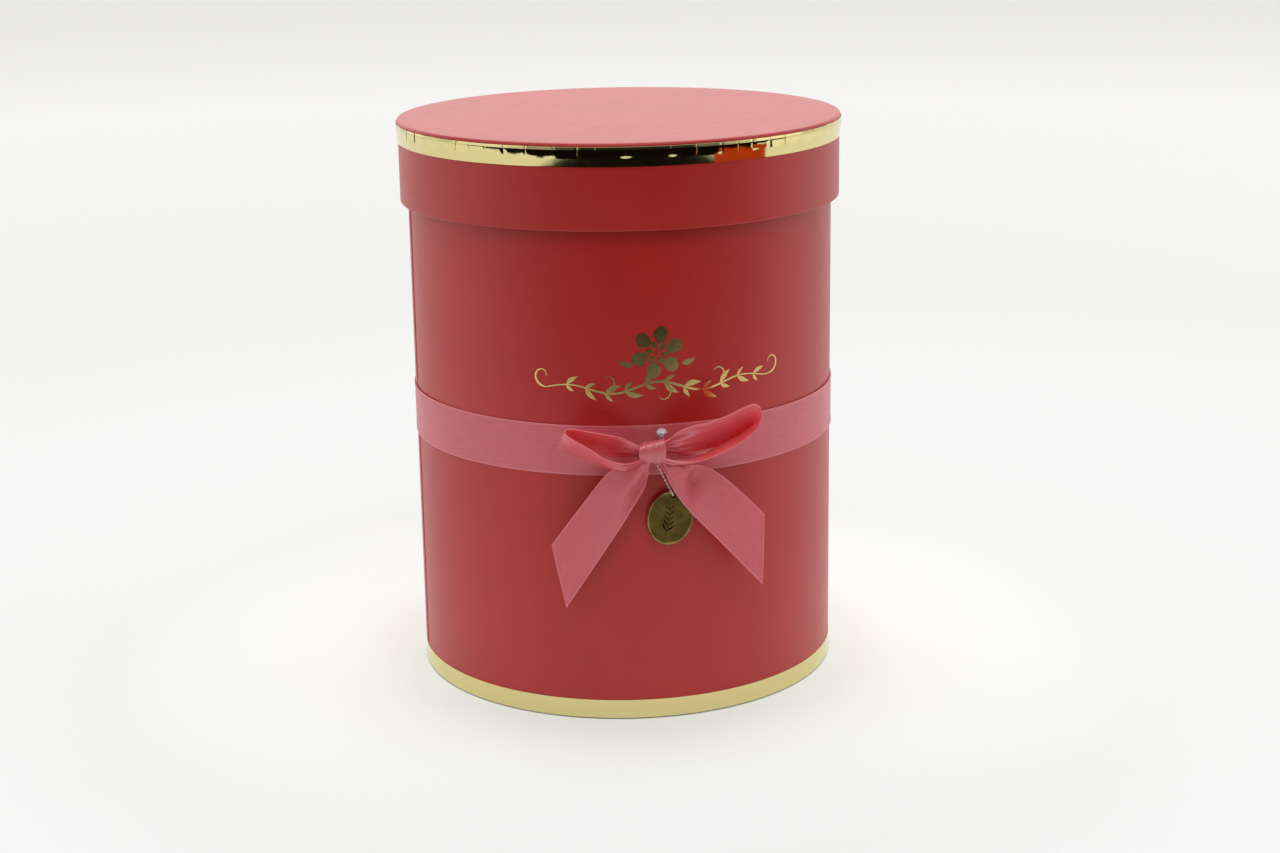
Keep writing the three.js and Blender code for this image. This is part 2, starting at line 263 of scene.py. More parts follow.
def fillet(points: Sequence[Point2], radii: dict[int, float], steps: int = 5) -> list[Point2]:
    """Rounds chosen corners of a closed outline.

    Args:
        points: The outline's corners.
        radii: The rounding of each corner by its number, in the outline's units.
        steps: Points on each rounded corner, less one.

    Returns:
        The outline with arcs at those corners.
    """
    out: list[Point2] = []
    for i, corner in enumerate(points):
        radius = radii.get(i, 0.0)
        if radius <= 0:
            out.append(corner)
            continue
        here = Vector(corner)
        back = (Vector(points[i - 1]) - here).normalized()
        ahead = (Vector(points[(i + 1) % len(points)]) - here).normalized()
        half = back.angle(ahead) / 2
        reach = radius / math.tan(half)
        centre = here + (back + ahead).normalized() * (radius / math.sin(half))
        first = here + back * reach - centre
        last = here + ahead * reach - centre
        for k in range(steps + 1):
            arm = first.slerp(last, k / steps).normalized() * radius
            out.append(tuple(centre + arm))
    return out


def revolve(
    name: str,
    profile: Sequence[Point2],
    steps: int = ROUND_STEPS,
    shift: Callable[[float, float, float], float] | None = None,
    angles: Sequence[float] | None = None,
) -> bpy.types.Object:
    """Turns an outline of radius and height, in millimetres, about the box's axis.

    Args:
        name: The piece's name.
        profile: The closed outline; a disc's outline starts and ends on the axis.
        steps: Facets round the axis.
        shift: Extra radius in millimetres at an angle, radius and height.
        angles: The facets' angles from the front towards +X, where they aren't even.

    Returns:
        A closed mesh object.
    """
    turns = list(angles) if angles is not None else even_turns(steps)
    count = len(turns)
    vertices: list[Point3] = []
    rings: list[list[int]] = []
    for radius, height in profile:
        if radius <= 0:
            rings.append([len(vertices)] * count)
            vertices.append((0.0, 0.0, height * MM))
            continue
        rings.append(list(range(len(vertices), len(vertices) + count)))
        for turn in turns:
            reach = (radius + (shift(turn, radius, height) if shift else 0.0)) * MM
            vertices.append((reach * math.sin(turn), -reach * math.cos(turn), height * MM))
    faces = []
    after = rings[1:] + rings[:1] if profile[0][0] > 0 else rings[1:]
    for low, high in zip(rings, after):
        for k in range(count):
            n = (k + 1) % count
            corners = list(dict.fromkeys([low[k], low[n], high[n], high[k]]))
            if len(corners) > 2:
                faces.append(corners)
    piece = new_object(name, np.array(vertices), faces)
    face_outwards(piece)
    return piece


def even_turns(steps: int) -> list[float]:
    """Returns evenly spaced angles round a full turn."""
    return [2 * math.pi * k / steps for k in range(steps)]


# ---------------------------------------------------------------- finishes


@dataclass(frozen=True)
class Finish:
    """A procedural material: its real colour and gloss, and what its surface adds."""

    name: str
    colour: str
    roughness: float
    metallic: float = 0.0
    ior: float = 1.5

    def material(self) -> bpy.types.Material:
        """Returns the finish's material, made once."""
        found = bpy.data.materials.get(self.name)
        if found is not None:
            return found
        made = bpy.data.materials.new(self.name)
        made.use_nodes = True
        tree = made.node_tree
        tree.nodes.clear()
        constants = {"Base Color": linear(self.colour), "Roughness": self.roughness}
        constants.update({"Metallic": self.metallic, "IOR": self.ior})
        shader = add_node(tree, "ShaderNodeBsdfPrincipled", values=constants)
        add_node(tree, "ShaderNodeOutputMaterial", {"Surface": shader})
        self.dress(shader)
        return made

    def dress(self, shader: bpy.types.Node) -> None:
        """Adds the surface's own variation; a plain finish adds none."""

    def grain(
        self, shader: bpy.types.Node, size_mm: float, stretch: Point3 = (1.0, 1.0, 1.0), detail: float = 3.0
    ) -> bpy.types.NodeSocket:
        """Noise of a real size on the object's own coordinates.

        Args:
            shader: The material's shader node.
            size_mm: The pattern's feature size.
            stretch: How many times finer the pattern is along each axis.
            detail: The noise's octaves.

        Returns:
            The noise's value socket.
        """
        tree = shader.id_data
        place = add_node(tree, "ShaderNodeTexCoord").outputs["Object"]
        mapping = add_node(tree, "ShaderNodeMapping", {"Vector": place}, {"Scale": stretch})
        size = {"Scale": 1.0 / (size_mm * MM), "Detail": detail}
        return add_node(tree, "ShaderNodeTexNoise", {"Vector": mapping}, size).outputs["Fac"]

    def tint(
        self, shader: bpy.types.Node, amount: bpy.types.NodeSocket, stops: Sequence[tuple[float, str]]
    ) -> None:
        """Feeds the base colour from a ramp of sRGB hex stops over a value socket."""
        ramp = colour_ramp(shader.id_data, amount, stops)
        shader.id_data.links.new(ramp.outputs["Color"], shader.inputs["Base Color"])

    def vary_gloss(self, shader: bpy.types.Node, amount: bpy.types.NodeSocket, spread: float) -> None:
        """Moves the roughness by half the spread either way with a value socket."""
        limits = {"To Min": self.roughness - spread / 2, "To Max": self.roughness + spread / 2}
        span = add_node(shader.id_data, "ShaderNodeMapRange", {"Value": amount}, limits)
        shader.id_data.links.new(span.outputs["Result"], shader.inputs["Roughness"])

    def emboss(
        self, shader: bpy.types.Node, height: bpy.types.NodeSocket, depth_mm: float, strength: float
    ) -> None:
        """Bumps the surface by a value socket, to a real depth."""
        size = {"Strength": strength, "Distance": depth_mm * MM}
        bump = add_node(shader.id_data, "ShaderNodeBump", {"Height": height}, size)
        shader.id_data.links.new(bump.outputs["Normal"], shader.inputs["Normal"])


@dataclass(frozen=True)
class ArtPaper(Finish):
    """Coated wrap paper, printed and varnished: an even colour with a broad soft gloss and faint grain."""

    deep: str = "AC180E"
    varnish: float = 0.18
    grain_mm: float = 1.1  # the coating's long grain, drawn coarser than its real 0.1 mm so that it shows

    def dress(self, shader: bpy.types.Node) -> None:
        """Adds clouding of the print, long grain and a varnish that is a little uneven."""
        shader.inputs["Coat Weight"].default_value = self.varnish
        shader.inputs["Coat Roughness"].default_value = 0.3
        clouds = self.grain(shader, 45.0, detail=4.0)
        self.tint(shader, clouds, [(0.3, self.deep), (0.7, self.colour)])
        long_grain = self.grain(shader, self.grain_mm, (0.12, 1.0, 1.0))
        self.vary_gloss(shader, long_grain, 0.2)
        self.emboss(shader, long_grain, 0.04, 0.5)


@dataclass(frozen=True)
class LiningPaper(Finish):
    """Uncoated bond paper: matt, off-white, with a soft fibre mottle."""

    shade: str = "E6E0D5"

    def dress(self, shader: bpy.types.Node) -> None:
        """Adds the fibres' mottle and tooth."""
        fibres = self.grain(shader, 1.2, detail=6.0)
        self.tint(shader, fibres, [(0.3, self.shade), (0.7, self.colour)])
        self.emboss(shader, fibres, 0.05, 0.4)


@dataclass(frozen=True)
class Greyboard(Finish):
    """Board pressed from recycled pulp: grey-brown, matt, flecked."""

    def dress(self, shader: bpy.types.Node) -> None:
        """Adds pulp flecks and a coarse tooth."""
        flecks = self.grain(shader, 0.9, detail=8.0)
        self.tint(shader, flecks, [(0.32, "6F685F"), (0.5, self.colour), (0.7, "B3AA9C")])
        self.emboss(shader, flecks, 0.08, 0.6)


@dataclass(frozen=True)
class GoldFoil(Finish):
    """Metallised polyester strip, glued by hand: a mirror gloss with slow ripples and rubbed spots."""

    ripple_mm: float = 9.0

    def dress(self, shader: bpy.types.Node) -> None:
        """Adds the strip's ripples and fine rubbing marks."""
        ripples = self.grain(shader, self.ripple_mm, detail=2.0)
        rubs = self.grain(shader, 1.4, detail=5.0)
        self.vary_gloss(shader, rubs, 0.05)
        self.emboss(shader, ripples, 0.03, 0.4)


@dataclass(frozen=True)
class SatinRibbon(Finish):
    """Polyester satin woven with long floats along the ribbon: a silky streak and a firm woven edge, whose paler
    colour is a painted highlight along the edges.

    Its pattern reads the piece's own UV map, where 1 across and 1 along are both one ribbon width.
    """

    # the selvedge's paler colour: a painted highlight along the ribbon's edges
    edge: str = "F08A94"
    thread: str = "DC6773"
    glow: str = "F0342C"
    width_mm: float = 20.0
    rib_mm: float = 0.22  # floats are 0.1 mm apart; drawn coarser so that they show
    selvedge_mm: float = 0.5
    through: float = 0.3  # share of the light that comes through the cloth
    lustre: float = 0.15  # the pressed floats' own sheer gloss

    def dress(self, shader: bpy.types.Node) -> None:
        """Adds the floats, the selvedges with their painted highlight, the gloss's lengthwise streak and the light
        through the cloth.
        """
        tree = shader.id_data
        soft = {"Anisotropic": 0.5, "Sheen Weight": 0.4, "Sheen Roughness": 0.4}
        for name, value in {**soft, "Coat Weight": self.lustre, "Coat Roughness": 0.26}.items():
            shader.inputs[name].default_value = value
        shader.inputs["Sheen Tint"].default_value = linear("F7C4C8")
        weave = add_node(tree, "ShaderNodeUVMap", uv_map=UV_NAME)
        axes = add_node(tree, "ShaderNodeSeparateXYZ", {"Vector": weave})
        middle = add_node(tree, "ShaderNodeMath", {0: axes}, {1: 0.5}, operation="SUBTRACT")
        aside = add_node(tree, "ShaderNodeMath", {0: middle}, operation="ABSOLUTE")
        # mask of the selvedges, where the paler edge colour paints a highlight
        edge_start = 0.5 - self.selvedge_mm / self.width_mm
        limits = {"From Min": edge_start - 0.01, "From Max": edge_start + 0.004}
        rim = add_node(tree, "ShaderNodeMapRange", {"Value": aside}, limits)
        fine = {"Scale": (self.width_mm / self.rib_mm, 2.5, 1.0)}
        spread = add_node(tree, "ShaderNodeMapping", {"Vector": weave}, fine)
        noise = {"Scale": 1.0, "Detail": 3.0}
        floats = add_node(tree, "ShaderNodeTexNoise", {"Vector": spread}, noise).outputs["Fac"]
        self.tint(shader, floats, [(0.3, self.thread), (0.7, self.colour)])
        # mix in the paler edge colour: a painted highlight along the selvedges
        ends = {"Factor": rim, 6: shader.inputs["Base Color"].links[0].from_socket}
        mixed = add_node(tree, "ShaderNodeMix", ends, {7: linear(self.edge)}, data_type="RGBA")
        tree.links.new(mixed.outputs[2], shader.inputs["Base Color"])
        self.vary_gloss(shader, floats, 0.06)
        self.emboss(shader, floats, 0.02, 0.35)
        lie = add_node(tree, "ShaderNodeTangent", direction_type="UV_MAP", uv_map=UV_NAME)
        tree.links.new(lie.outputs["Tangent"], shader.inputs["Tangent"])
        through = add_node(tree, "ShaderNodeBsdfTranslucent", values={"Color": linear(self.glow)})
        cloth = add_node(tree, "ShaderNodeMixShader", {1: shader, 2: through}, {0: self.through})
        end = next(n for n in tree.nodes if n.type == "OUTPUT_MATERIAL")
        tree.links.new(cloth.outputs["Shader"], end.inputs["Surface"])


@dataclass(frozen=True)
class HotMelt(Finish):
    """Cast hot-melt glue: cloudy, waxy and lumpy."""

    def dress(self, shader: bpy.types.Node) -> None:
        """Adds the wax's depth and lumps."""
        shader.inputs["Subsurface Weight"].default_value = 0.4
        shader.inputs["Subsurface Scale"].default_value = 1.5 * MM
        self.emboss(shader, self.grain(shader, 1.5), 0.3, 0.6)


@dataclass(frozen=True)
class PlatedSteel(Finish):
    """Nickel-plated steel, drawn and tumbled: bright with a faint soft blur."""

    def dress(self, shader: bpy.types.Node) -> None:
        """Adds tumbling marks."""
        self.vary_gloss(shader, self.grain(shader, 0.3, detail=5.0), 0.12)


@dataclass(frozen=True)
class CutCrystal(Finish):
    """Lead glass, ground and polished in flat facets: clear with hard sparks."""

    def dress(self, shader: bpy.types.Node) -> None:
        """Makes the glass clear, with the foiled back's faint haze."""
        shader.inputs["Transmission Weight"].default_value = 0.55
        self.vary_gloss(shader, self.grain(shader, 0.8), 0.03)


@dataclass(frozen=True)
class AgedBrass(Finish):
    """Stamped brass dipped to a brown patina and rubbed back: dark hollows and lighter blotches; a lighter copy on
    the raised rim is a painted highlight.
    """

    patina: str = "43381A"
    rubbed: str = "75622F"

    def dress(self, shader: bpy.types.Node) -> None:
        """Adds blotched patina, pits and a gloss that follows them."""
        blotches = self.grain(shader, 5.0, detail=6.0)
        stops = [(0.3, self.patina), (0.55, self.colour), (0.8, self.rubbed)]
        self.tint(shader, blotches, stops)
        self.vary_gloss(shader, blotches, 0.2)
        self.emboss(shader, self.grain(shader, 0.5, detail=5.0), 0.03, 0.6)


UV_NAME = "ribbon"
RED_PAPER = ArtPaper("red_art_paper", "B41B10", 0.43, ior=1.5)
LINING = LiningPaper("white_bond_paper", "F4F0E8", 0.75)
BOARD = Greyboard("pressed_greyboard", "9B9388", 0.9)
GOLD = GoldFoil("gold_metallised_foil", "E2D597", 0.07, metallic=1.0)
PRINT_GOLD = GoldFoil("gold_hot_stamping_foil", "D8C07A", 0.16, metallic=1.0, ripple_mm=3.0)
SATIN = SatinRibbon("rose_woven_satin", "F07C88", 0.4, ior=1.6)
# the same satin on the loops and knot, with a paler base colour and glow and more light through it so that they read
# brighter: a lit copy, painted light
SATIN_PAINTED_PALER = SatinRibbon(
    "rose_woven_satin_lit_through_painted_paler", "F68E9A", 0.27, ior=1.9, glow="FF706C", through=0.42, lustre=0.9
)
GLUE = HotMelt("hot_melt_glue", "E8E2D2", 0.45)
NICKEL = PlatedSteel("nickel_plated_steel", "D9D8D2", 0.18, metallic=1.0)
CRYSTAL = CutCrystal("cut_lead_crystal", "F4F7FA", 0.03, ior=1.56)
BRASS = AgedBrass("patinated_brass", "5C4C24", 0.28, metallic=1.0)
# the raised rim's lighter brass: a painted highlight along the rim
RIM_HIGHLIGHT_BRASS = AgedBrass("brass_rim_painted_highlight", "8F7A48", 0.24, metallic=1.0, patina="6B5830", rubbed="A8925A")
BLACKENED = AgedBrass(
    "blackened_brass_lines", "1E170A", 0.5, metallic=1.0, patina="140F06", rubbed="2E2410"
)


# ---------------------------------------------------------------- papers and boards of the body


def paper_limits(node: str) -> tuple[float, float, float]:
    """Returns a round node's outer radius, lowest and highest height, in millimetres."""
    low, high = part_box(node)
    return high.x / MM, low.z / MM, high.z / MM


def dress_boards(*nodes: str) -> None:
    """Gives boards that stay as they are in the frame their greyboard."""
    for node in nodes:
        slots = frame["nodes"][node].data.materials
        slots.clear()
        slots.append(BOARD.material())


STEP_RADII = {2: 0.8, 3: 0.8, 6: 0.8, 7: 0.8}  # a lining's soft step over a turned-in edge


def mount_round(
    name: str,
    outline: Sequence[Point2],
    body: Body,
    node: str,
    finish: Finish,
    radii: dict[int, float] | None = None,
    steps: int = 5,
    **turned: object,
) -> None:
    """Builds a round paper or strip and mounts it in place of its CAD node.

    Args:
        name: The piece's name.
        outline: Its section, as radius and height in millimetres.
        body: The body it rides on.
        node: The CAD node it stands for.
        finish: Its material.
        radii: The rounding of the section's corners.
        steps: Points on each rounded corner, less one.
        **turned: The shift and the angles that revolve takes.
    """
    piece = revolve(name, fillet(outline, radii or {}, steps), **turned)
    mount_piece(piece, body, finish, [node])


@dataclass
class BodyShell:
    """The box's body: wrapped tube, lining, base and the foil strip at its foot. Sizes in millimetres."""

    paper: float = 0.25
    turn_in: float = 15.0
    wall: float = 2.45  # the board and its glue lines
    fold: float = 0.7  # rounding of the wrap's fold over the rim
    foil: float = 0.15
    slack: float = 0.1  # air between the lining and the turned-in wrap
    step: float = 1.0  # height over which the lining steps inwards
    seam_angle: float = math.radians(-84)  # the wrap's overlap, from the front towards +X
    seam_lift: float = 0.3  # above the foot strip, which presses it flat
    seam_ramp: float = math.radians(14)
    radius: float = field(default=0.0)
    foot: float = field(default=0.0)
    rim: float = field(default=0.0)
    strip_top: float = field(default=0.0)

    def __post_init__(self) -> None:
        """Reads the wrap's size from the frame."""
        self.radius, self.foot, self.rim = paper_limits("body_wrap")
        self.strip_top = paper_limits("body_trim")[2]

    def seam(self, turn: float, radius: float, height: float) -> float:
        """The overlap's extra radius: a crisp edge on one side and a long ramp on the other."""
        if radius < self.radius - self.paper / 2 or height < self.strip_top + 0.2:
            return 0.0
        behind = (self.seam_angle - turn) % (2 * math.pi)
        if behind > self.seam_ramp:
            return 0.0
        return self.seam_lift * (1 - behind / self.seam_ramp) ** 0.5

    def seam_angles(self) -> list[float]:
        """Facet angles with two close together at the seam's edge, so that the step is crisp."""
        edge = self.seam_angle % (2 * math.pi)
        hair = 0.08 / self.radius
        kept = [t for t in even_turns(ROUND_STEPS) if abs(t - edge) > 4 * hair]
        return sorted([*kept, edge - hair, edge + hair])

    def build(self) -> None:
        """Builds and dresses the body's papers, foil strip and boards."""
        inner = self.radius - self.paper
        sleeve = self.radius - self.paper - self.wall + self.paper
        turned = sleeve - self.paper
        outline = [
            (inner, self.foot),
            (self.radius, self.foot),
            (self.radius, self.strip_top + 0.1),
            (self.radius, self.strip_top + 0.8),
            (self.radius, self.rim),
            (turned, self.rim),
            (turned, self.rim - self.turn_in),
            (sleeve, self.rim - self.turn_in),
            (sleeve, self.rim - self.paper),
            (inner, self.rim - self.paper),
        ]
        radii = {4: self.fold, 5: self.fold, 8: 0.4, 9: 0.4}
        turned_by = {"shift": self.seam, "angles": self.seam_angles()}
        mount_round("body_wrap_paper", outline, Body.BOX, "body_wrap", RED_PAPER, radii, **turned_by)
        self.build_liner(turned, sleeve)
        for node in ("base_cover", "floor_liner"):
            reach, low, high = paper_limits(node)
            disc = [(0, low), (reach, low), (reach, high), (0, high)]
            mount_round(node + "_paper", disc, Body.BOX, node, LINING, {1: 0.08, 2: 0.08}, 2)
        self.build_foot_strip()
        dress_boards("body_tube", "base_board")

    def build_liner(self, turned: float, sleeve: float) -> None:
        """Builds the lining, which steps inwards over the wrap's turned-in edge.

        Args:
            turned: Inner radius of the turned-in wrap.
            sleeve: Inner radius of the tube, less its glue line.
        """
        _, low, high = paper_limits("body_liner")
        step = self.rim - self.turn_in - 0.3
        narrow = turned - self.slack
        outline = [
            (turned, low),
            (sleeve, low),
            (sleeve, step - self.step),
            (narrow, step),
            (narrow, high),
            (narrow - self.paper, high),
            (narrow - self.paper, step),
            (turned, step - self.step),
        ]
        mount_round("body_lining_paper", outline, Body.BOX, "body_liner", LINING, STEP_RADII, 3)

    def build_foot_strip(self) -> None:
        """Builds the foil strip at the foot as a ring swept by Geometry Nodes."""
        reach, low, high = paper_limits("body_trim")
        strip = swept_hoop("foot_foil_strip", reach - self.foil, low, high, self.foil, GOLD)
        mount_piece(strip, Body.BOX, None, ["body_trim"])


def geometry_tree(name: str, inputs: dict[str, float]) -> tuple[bpy.types.NodeTree, bpy.types.Node]:
    """Starts a Geometry Nodes tree with named float inputs and a geometry output.

    Args:
        name: The tree's name.
        inputs: The inputs' names and default values.

    Returns:
        The tree and its input node.
    """
    tree = bpy.data.node_groups.new(name, "GeometryNodeTree")
    tree.interface.new_socket("Geometry", in_out="OUTPUT", socket_type="NodeSocketGeometry")
    for title, value in inputs.items():
        socket = tree.interface.new_socket(title, in_out="INPUT", socket_type="NodeSocketFloat")
        socket.default_value = value
    return tree, tree.nodes.new("NodeGroupInput")


def grow(
    name: str, tree: bpy.types.NodeTree, last: bpy.types.Node, finish: Finish, sizes: dict[str, float]
) -> bpy.types.Object:
    """Ends a tree in Realize Instances and Set Material and turns its result into a plain mesh.

    Args:
        name: The piece's name.
        tree: The tree made so far.
        last: The node that makes its geometry.
        finish: The material it sets.
        sizes: Values for the tree's named inputs.

    Returns:
        The finished mesh object.
    """
    whole = add_node(tree, "GeometryNodeRealizeInstances", {"Geometry": last})
    smooth = add_node(tree, "GeometryNodeSetShadeSmooth", {"Geometry": whole})
    material = {"Material": finish.material()}
    dressed = add_node(tree, "GeometryNodeSetMaterial", {"Geometry": smooth}, material)
    add_node(tree, "NodeGroupOutput", {"Geometry": dressed})
    holder = linked(name, bpy.data.meshes.new(name + "_seed"))
    modifier = holder.modifiers.new("grow", "NODES")
    modifier.node_group = tree
    for item in tree.interface.items_tree:
        if item.item_type == "SOCKET" and item.in_out == "INPUT" and item.name in sizes:
            modifier[item.identifier] = float(sizes[item.name])
    return baked(holder)


def swept_hoop(
    name: str, radius: float, low: float, high: float, thick: float, finish: Finish
) -> bpy.types.Object:
    """Sweeps a strip's section round the box's axis. Sizes in millimetres.

    Args:
        name: The piece's name.
        radius: The strip's inner radius.
        low: Its lower edge.
        high: Its upper edge.
        thick: Its thickness.
        finish: Its material.

    Returns:
        The hoop's mesh object.
    """
    sizes = {
        "Radius": (radius + thick / 2) * MM,
        "Width": (high - low) * MM,
        "Thickness": thick * MM,
        "Middle": (low + high) / 2 * MM,
    }
    tree, given = geometry_tree(name + "_sweep", sizes)
    size = given.outputs
    circle, rectangle = "GeometryNodeCurvePrimitiveCircle", "GeometryNodeCurvePrimitiveQuadrilateral"
    path = add_node(tree, circle, {"Radius": size["Radius"]}, {"Resolution": ROUND_STEPS})
    sides = {"Width": size["Thickness"], "Height": size["Width"]}
    section = add_node(tree, rectangle, sides, mode="RECTANGLE")
    curves = {"Curve": path, "Profile Curve": section}
    hoop = add_node(tree, "GeometryNodeCurveToMesh", curves, {"Fill Caps": False})
    lift = add_node(tree, "ShaderNodeCombineXYZ", {"Z": size["Middle"]})
    placed = add_node(tree, "GeometryNodeTransform", {"Geometry": hoop, "Translation": lift})
    piece = grow(name, tree, placed, finish, sizes)
    face_outwards(piece)
    return piece


# ---------------------------------------------------------------- lid


@dataclass
class LidShell:
    """The push-on lid: boards, papers, and foil over the top paper's tabs. Sizes in millimetres."""

    paper: float = 0.25
    foil: float = 0.15
    turn_in: float = 12.0
    wall: float = 1.95  # the rim's board, its glue lines and the turned-in paper
    tab_narrow: float = 6.5
    tab_wide: float = 12.0
    tab_depth: float = 5.6
    notch: float = 0.32  # gap between two tabs
    edge_round: float = 1.15
    bulge: float = 0.12  # the top's edge is a little fuller than the strip
    ledge: float = 0.9  # height over which the foil takes the tabs' shape
    full: float = 1.1  # how much of a tab's flatness the foil shows
    nick_depth: float = 0.08
    tab_lean: float = 0.16
    proud: float = 0.12  # of the fold along the lower edge, and its wander
    wander: float = 0.03
    edge_fade: float = 1.1
    slack: float = 0.1
    step: float = 1.0  # height over which the lining steps outwards
    radius: float = field(default=0.0)
    foot: float = field(default=0.0)
    top: float = field(default=0.0)

    def __post_init__(self) -> None:
        """Reads the lid's size from the frame and cuts the top paper's tabs."""
        self.radius, self.foot, _ = paper_limits("lid_rim_wrap")
        _, _, self.top = paper_limits("lid_top_cover")
        draw = random.Random(12)
        edges = [0.0]
        whole = 2 * math.pi * self.radius
        while edges[-1] < whole - self.tab_wide:
            edges.append(edges[-1] + draw.uniform(self.tab_narrow, self.tab_wide))
        self.tab_edges = [e / self.radius for e in edges]
        self.tab_lift = [draw.uniform(0.0, 0.16) for _ in edges]
        self.tab_tilt = [draw.uniform(-0.5, 0.5) for _ in edges]

    def tab_at(self, turn: float) -> tuple[float, float, int]:
        """Finds the tab at an angle.

        Args:
            turn: The angle from the front.

        Returns:
            Arc lengths from the tab's start and to its end, and the tab's number.
        """
        place = turn % (2 * math.pi)
        number = max(i for i, e in enumerate(self.tab_edges) if e <= place)
        after = self.tab_edges[number + 1] if number + 1 < len(self.tab_edges) else 2 * math.pi
        return (place - self.tab_edges[number]) * self.radius, (after - place) * self.radius, number

    def tab_shape(self, turn: float, radius: float, height: float) -> float:
        """Radius that the foil takes over the tabs: flat facets with nicks between them."""
        cover_foot = self.top - self.tab_depth
        if height < cover_foot or radius < self.radius:
            return 0.0
        start, end, number = self.tab_at(turn)
        half = (start + end) / 2
        across = (start - end) / 2
        chord = (across * across - half * half / 3) / (2 * self.radius)
        nick = max(0.0, 1 - min(start, end) / self.notch)
        blend = min(1.0, (height - cover_foot) / self.ledge)
        lean = self.tab_tilt[number] * across / half * self.tab_lean
        return blend * (chord * self.full + self.tab_lift[number] + lean - self.nick_depth * nick)

    def tab_angles(self) -> list[float]:
        """Facet angles that follow the tabs' edges closely."""
        close = [-1.0, -0.5, -0.1, 0.1, 0.5, 1.0]
        nicks = [e + c * self.notch / self.radius for e in self.tab_edges for c in close]
        merged = sorted(t % (2 * math.pi) for t in even_turns(ROUND_STEPS) + nicks)
        least = 0.03 / self.radius
        return [t for i, t in enumerate(merged) if i == 0 or t - merged[i - 1] > least]

    def build(self) -> None:
        """Builds and dresses the lid's papers, foil strip and boards."""
        self.build_rim()
        self.build_cover()
        self.build_strip()
        reach, low, high = paper_limits("lid_ceiling_liner")
        disc = [(0, low), (reach, low), (reach, high), (0, high)]
        mount_round("lid_ceiling_paper", disc, Body.LID, "lid_ceiling_liner", LINING)
        dress_boards("lid_rim_board", "lid_top_board")

    def build_rim(self) -> None:
        """Builds the rim's red wrap, turned in at its lower edge, and its lining."""
        _, _, wrap_top = paper_limits("lid_rim_wrap")
        inner = self.radius - self.paper
        sleeve = self.radius - self.wall
        turned = sleeve - self.paper
        outline = [
            (turned, self.foot),
            (self.radius, self.foot),
            (self.radius, wrap_top),
            (inner, wrap_top),
            (inner, self.foot + self.paper),
            (sleeve, self.foot + self.paper),
            (sleeve, self.foot + self.turn_in),
            (turned, self.foot + self.turn_in),
        ]
        radii = {0: 0.6, 1: 0.6, 4: 0.35, 5: 0.35}
        edge = {"shift": self.rim_edge}
        mount_round("lid_rim_wrap_paper", outline, Body.LID, "lid_rim_wrap", RED_PAPER, radii, **edge)
        _, low, high = paper_limits("lid_rim_liner")
        step = self.foot + self.turn_in + 0.3
        over = turned - self.slack
        outline = [
            (over - self.paper, low),
            (over, low),
            (over, step),
            (sleeve, step + self.step),
            (sleeve, high),
            (turned, high),
            (turned, step + self.step),
            (over - self.paper, step),
        ]
        mount_round("lid_lining_paper", outline, Body.LID, "lid_rim_liner", LINING, STEP_RADII, 3)

    def rim_edge(self, turn: float, radius: float, height: float) -> float:
        """The fold along the lid's lower edge is a little proud of the wall, and wanders."""
        near_edge = max(0.0, 1 - (height - self.foot) / self.edge_fade)
        wander = self.wander * math.sin(7 * turn) + self.wander * math.sin(17 * turn + 1)
        return near_edge * (self.proud + wander) if radius > self.radius - self.paper else 0.0

    def build_cover(self) -> None:
        """Builds the top paper with its soft edge and turned-down skirt."""
        reach, low, _ = paper_limits("lid_top_cover")
        inner = reach - self.paper
        under = self.top - self.paper
        rings = [reach * share for share in (0.25, 0.5, 0.7, 0.85, 0.94)]
        outline = [
            (0, under),
            (inner, under),
            (inner, low),
            (reach, low),
            (reach, self.top - 1.6),
            (reach + self.bulge, self.top - 1.2),
            (reach + self.bulge, self.top),
            *[(r, self.top) for r in reversed(rings)],
            (0, self.top),
        ]
        mount_round("lid_top_paper", outline, Body.LID, "lid_top_cover", RED_PAPER, {6: self.edge_round}, 8)

    def build_strip(self) -> None:
        """Builds the foil strip, which shows the tabs' edges and a ledge where they end."""
        reach, low, high = paper_limits("lid_trim")
        outer_low = reach - self.paper - 0.1
        foot = self.top - self.tab_depth
        face = [(outer_low, low), (outer_low + 0.02, low + 0.3), (reach - 0.03, foot - 0.3), (reach, foot)]
        face += [(reach, foot + self.ledge * share) for share in (1 / 3, 2 / 3, 1)]
        face += [(reach, high - 1.6), (reach, high - 0.12), (reach - 0.06, high)]
        back = [(r - self.foil, h) for r, h in face[:-1]]
        tabs = {"shift": self.tab_shape, "angles": self.tab_angles()}
        mount_round("lid_foil_strip", face + back[::-1], Body.LID, "lid_trim", GOLD, **tabs)


# ---------------------------------------------------------------- ribbon


def lay_uv(piece: bpy.types.Object, place: Callable[[bpy.types.MeshPolygon, int], Point2]) -> None:
    """Gives a ribbon its UV map, in ribbon widths.

    Args:
        piece: The ribbon's mesh object.
        place: Finds the place on the cloth of a face's corner, by the face and its vertex's number.
    """
    layer = piece.data.uv_layers.new(name=UV_NAME)
    for face in piece.data.polygons:
        for index in face.loop_indices:
            layer.data[index].uv = place(face, piece.data.loops[index].vertex_index)


@dataclass(frozen=True)
class Crease:
    """A dent in a stretch of ribbon: its depth in millimetres, and its place and size as shares of it."""

    along: float
    across: float
    depth: float
    long: float
    wide: float


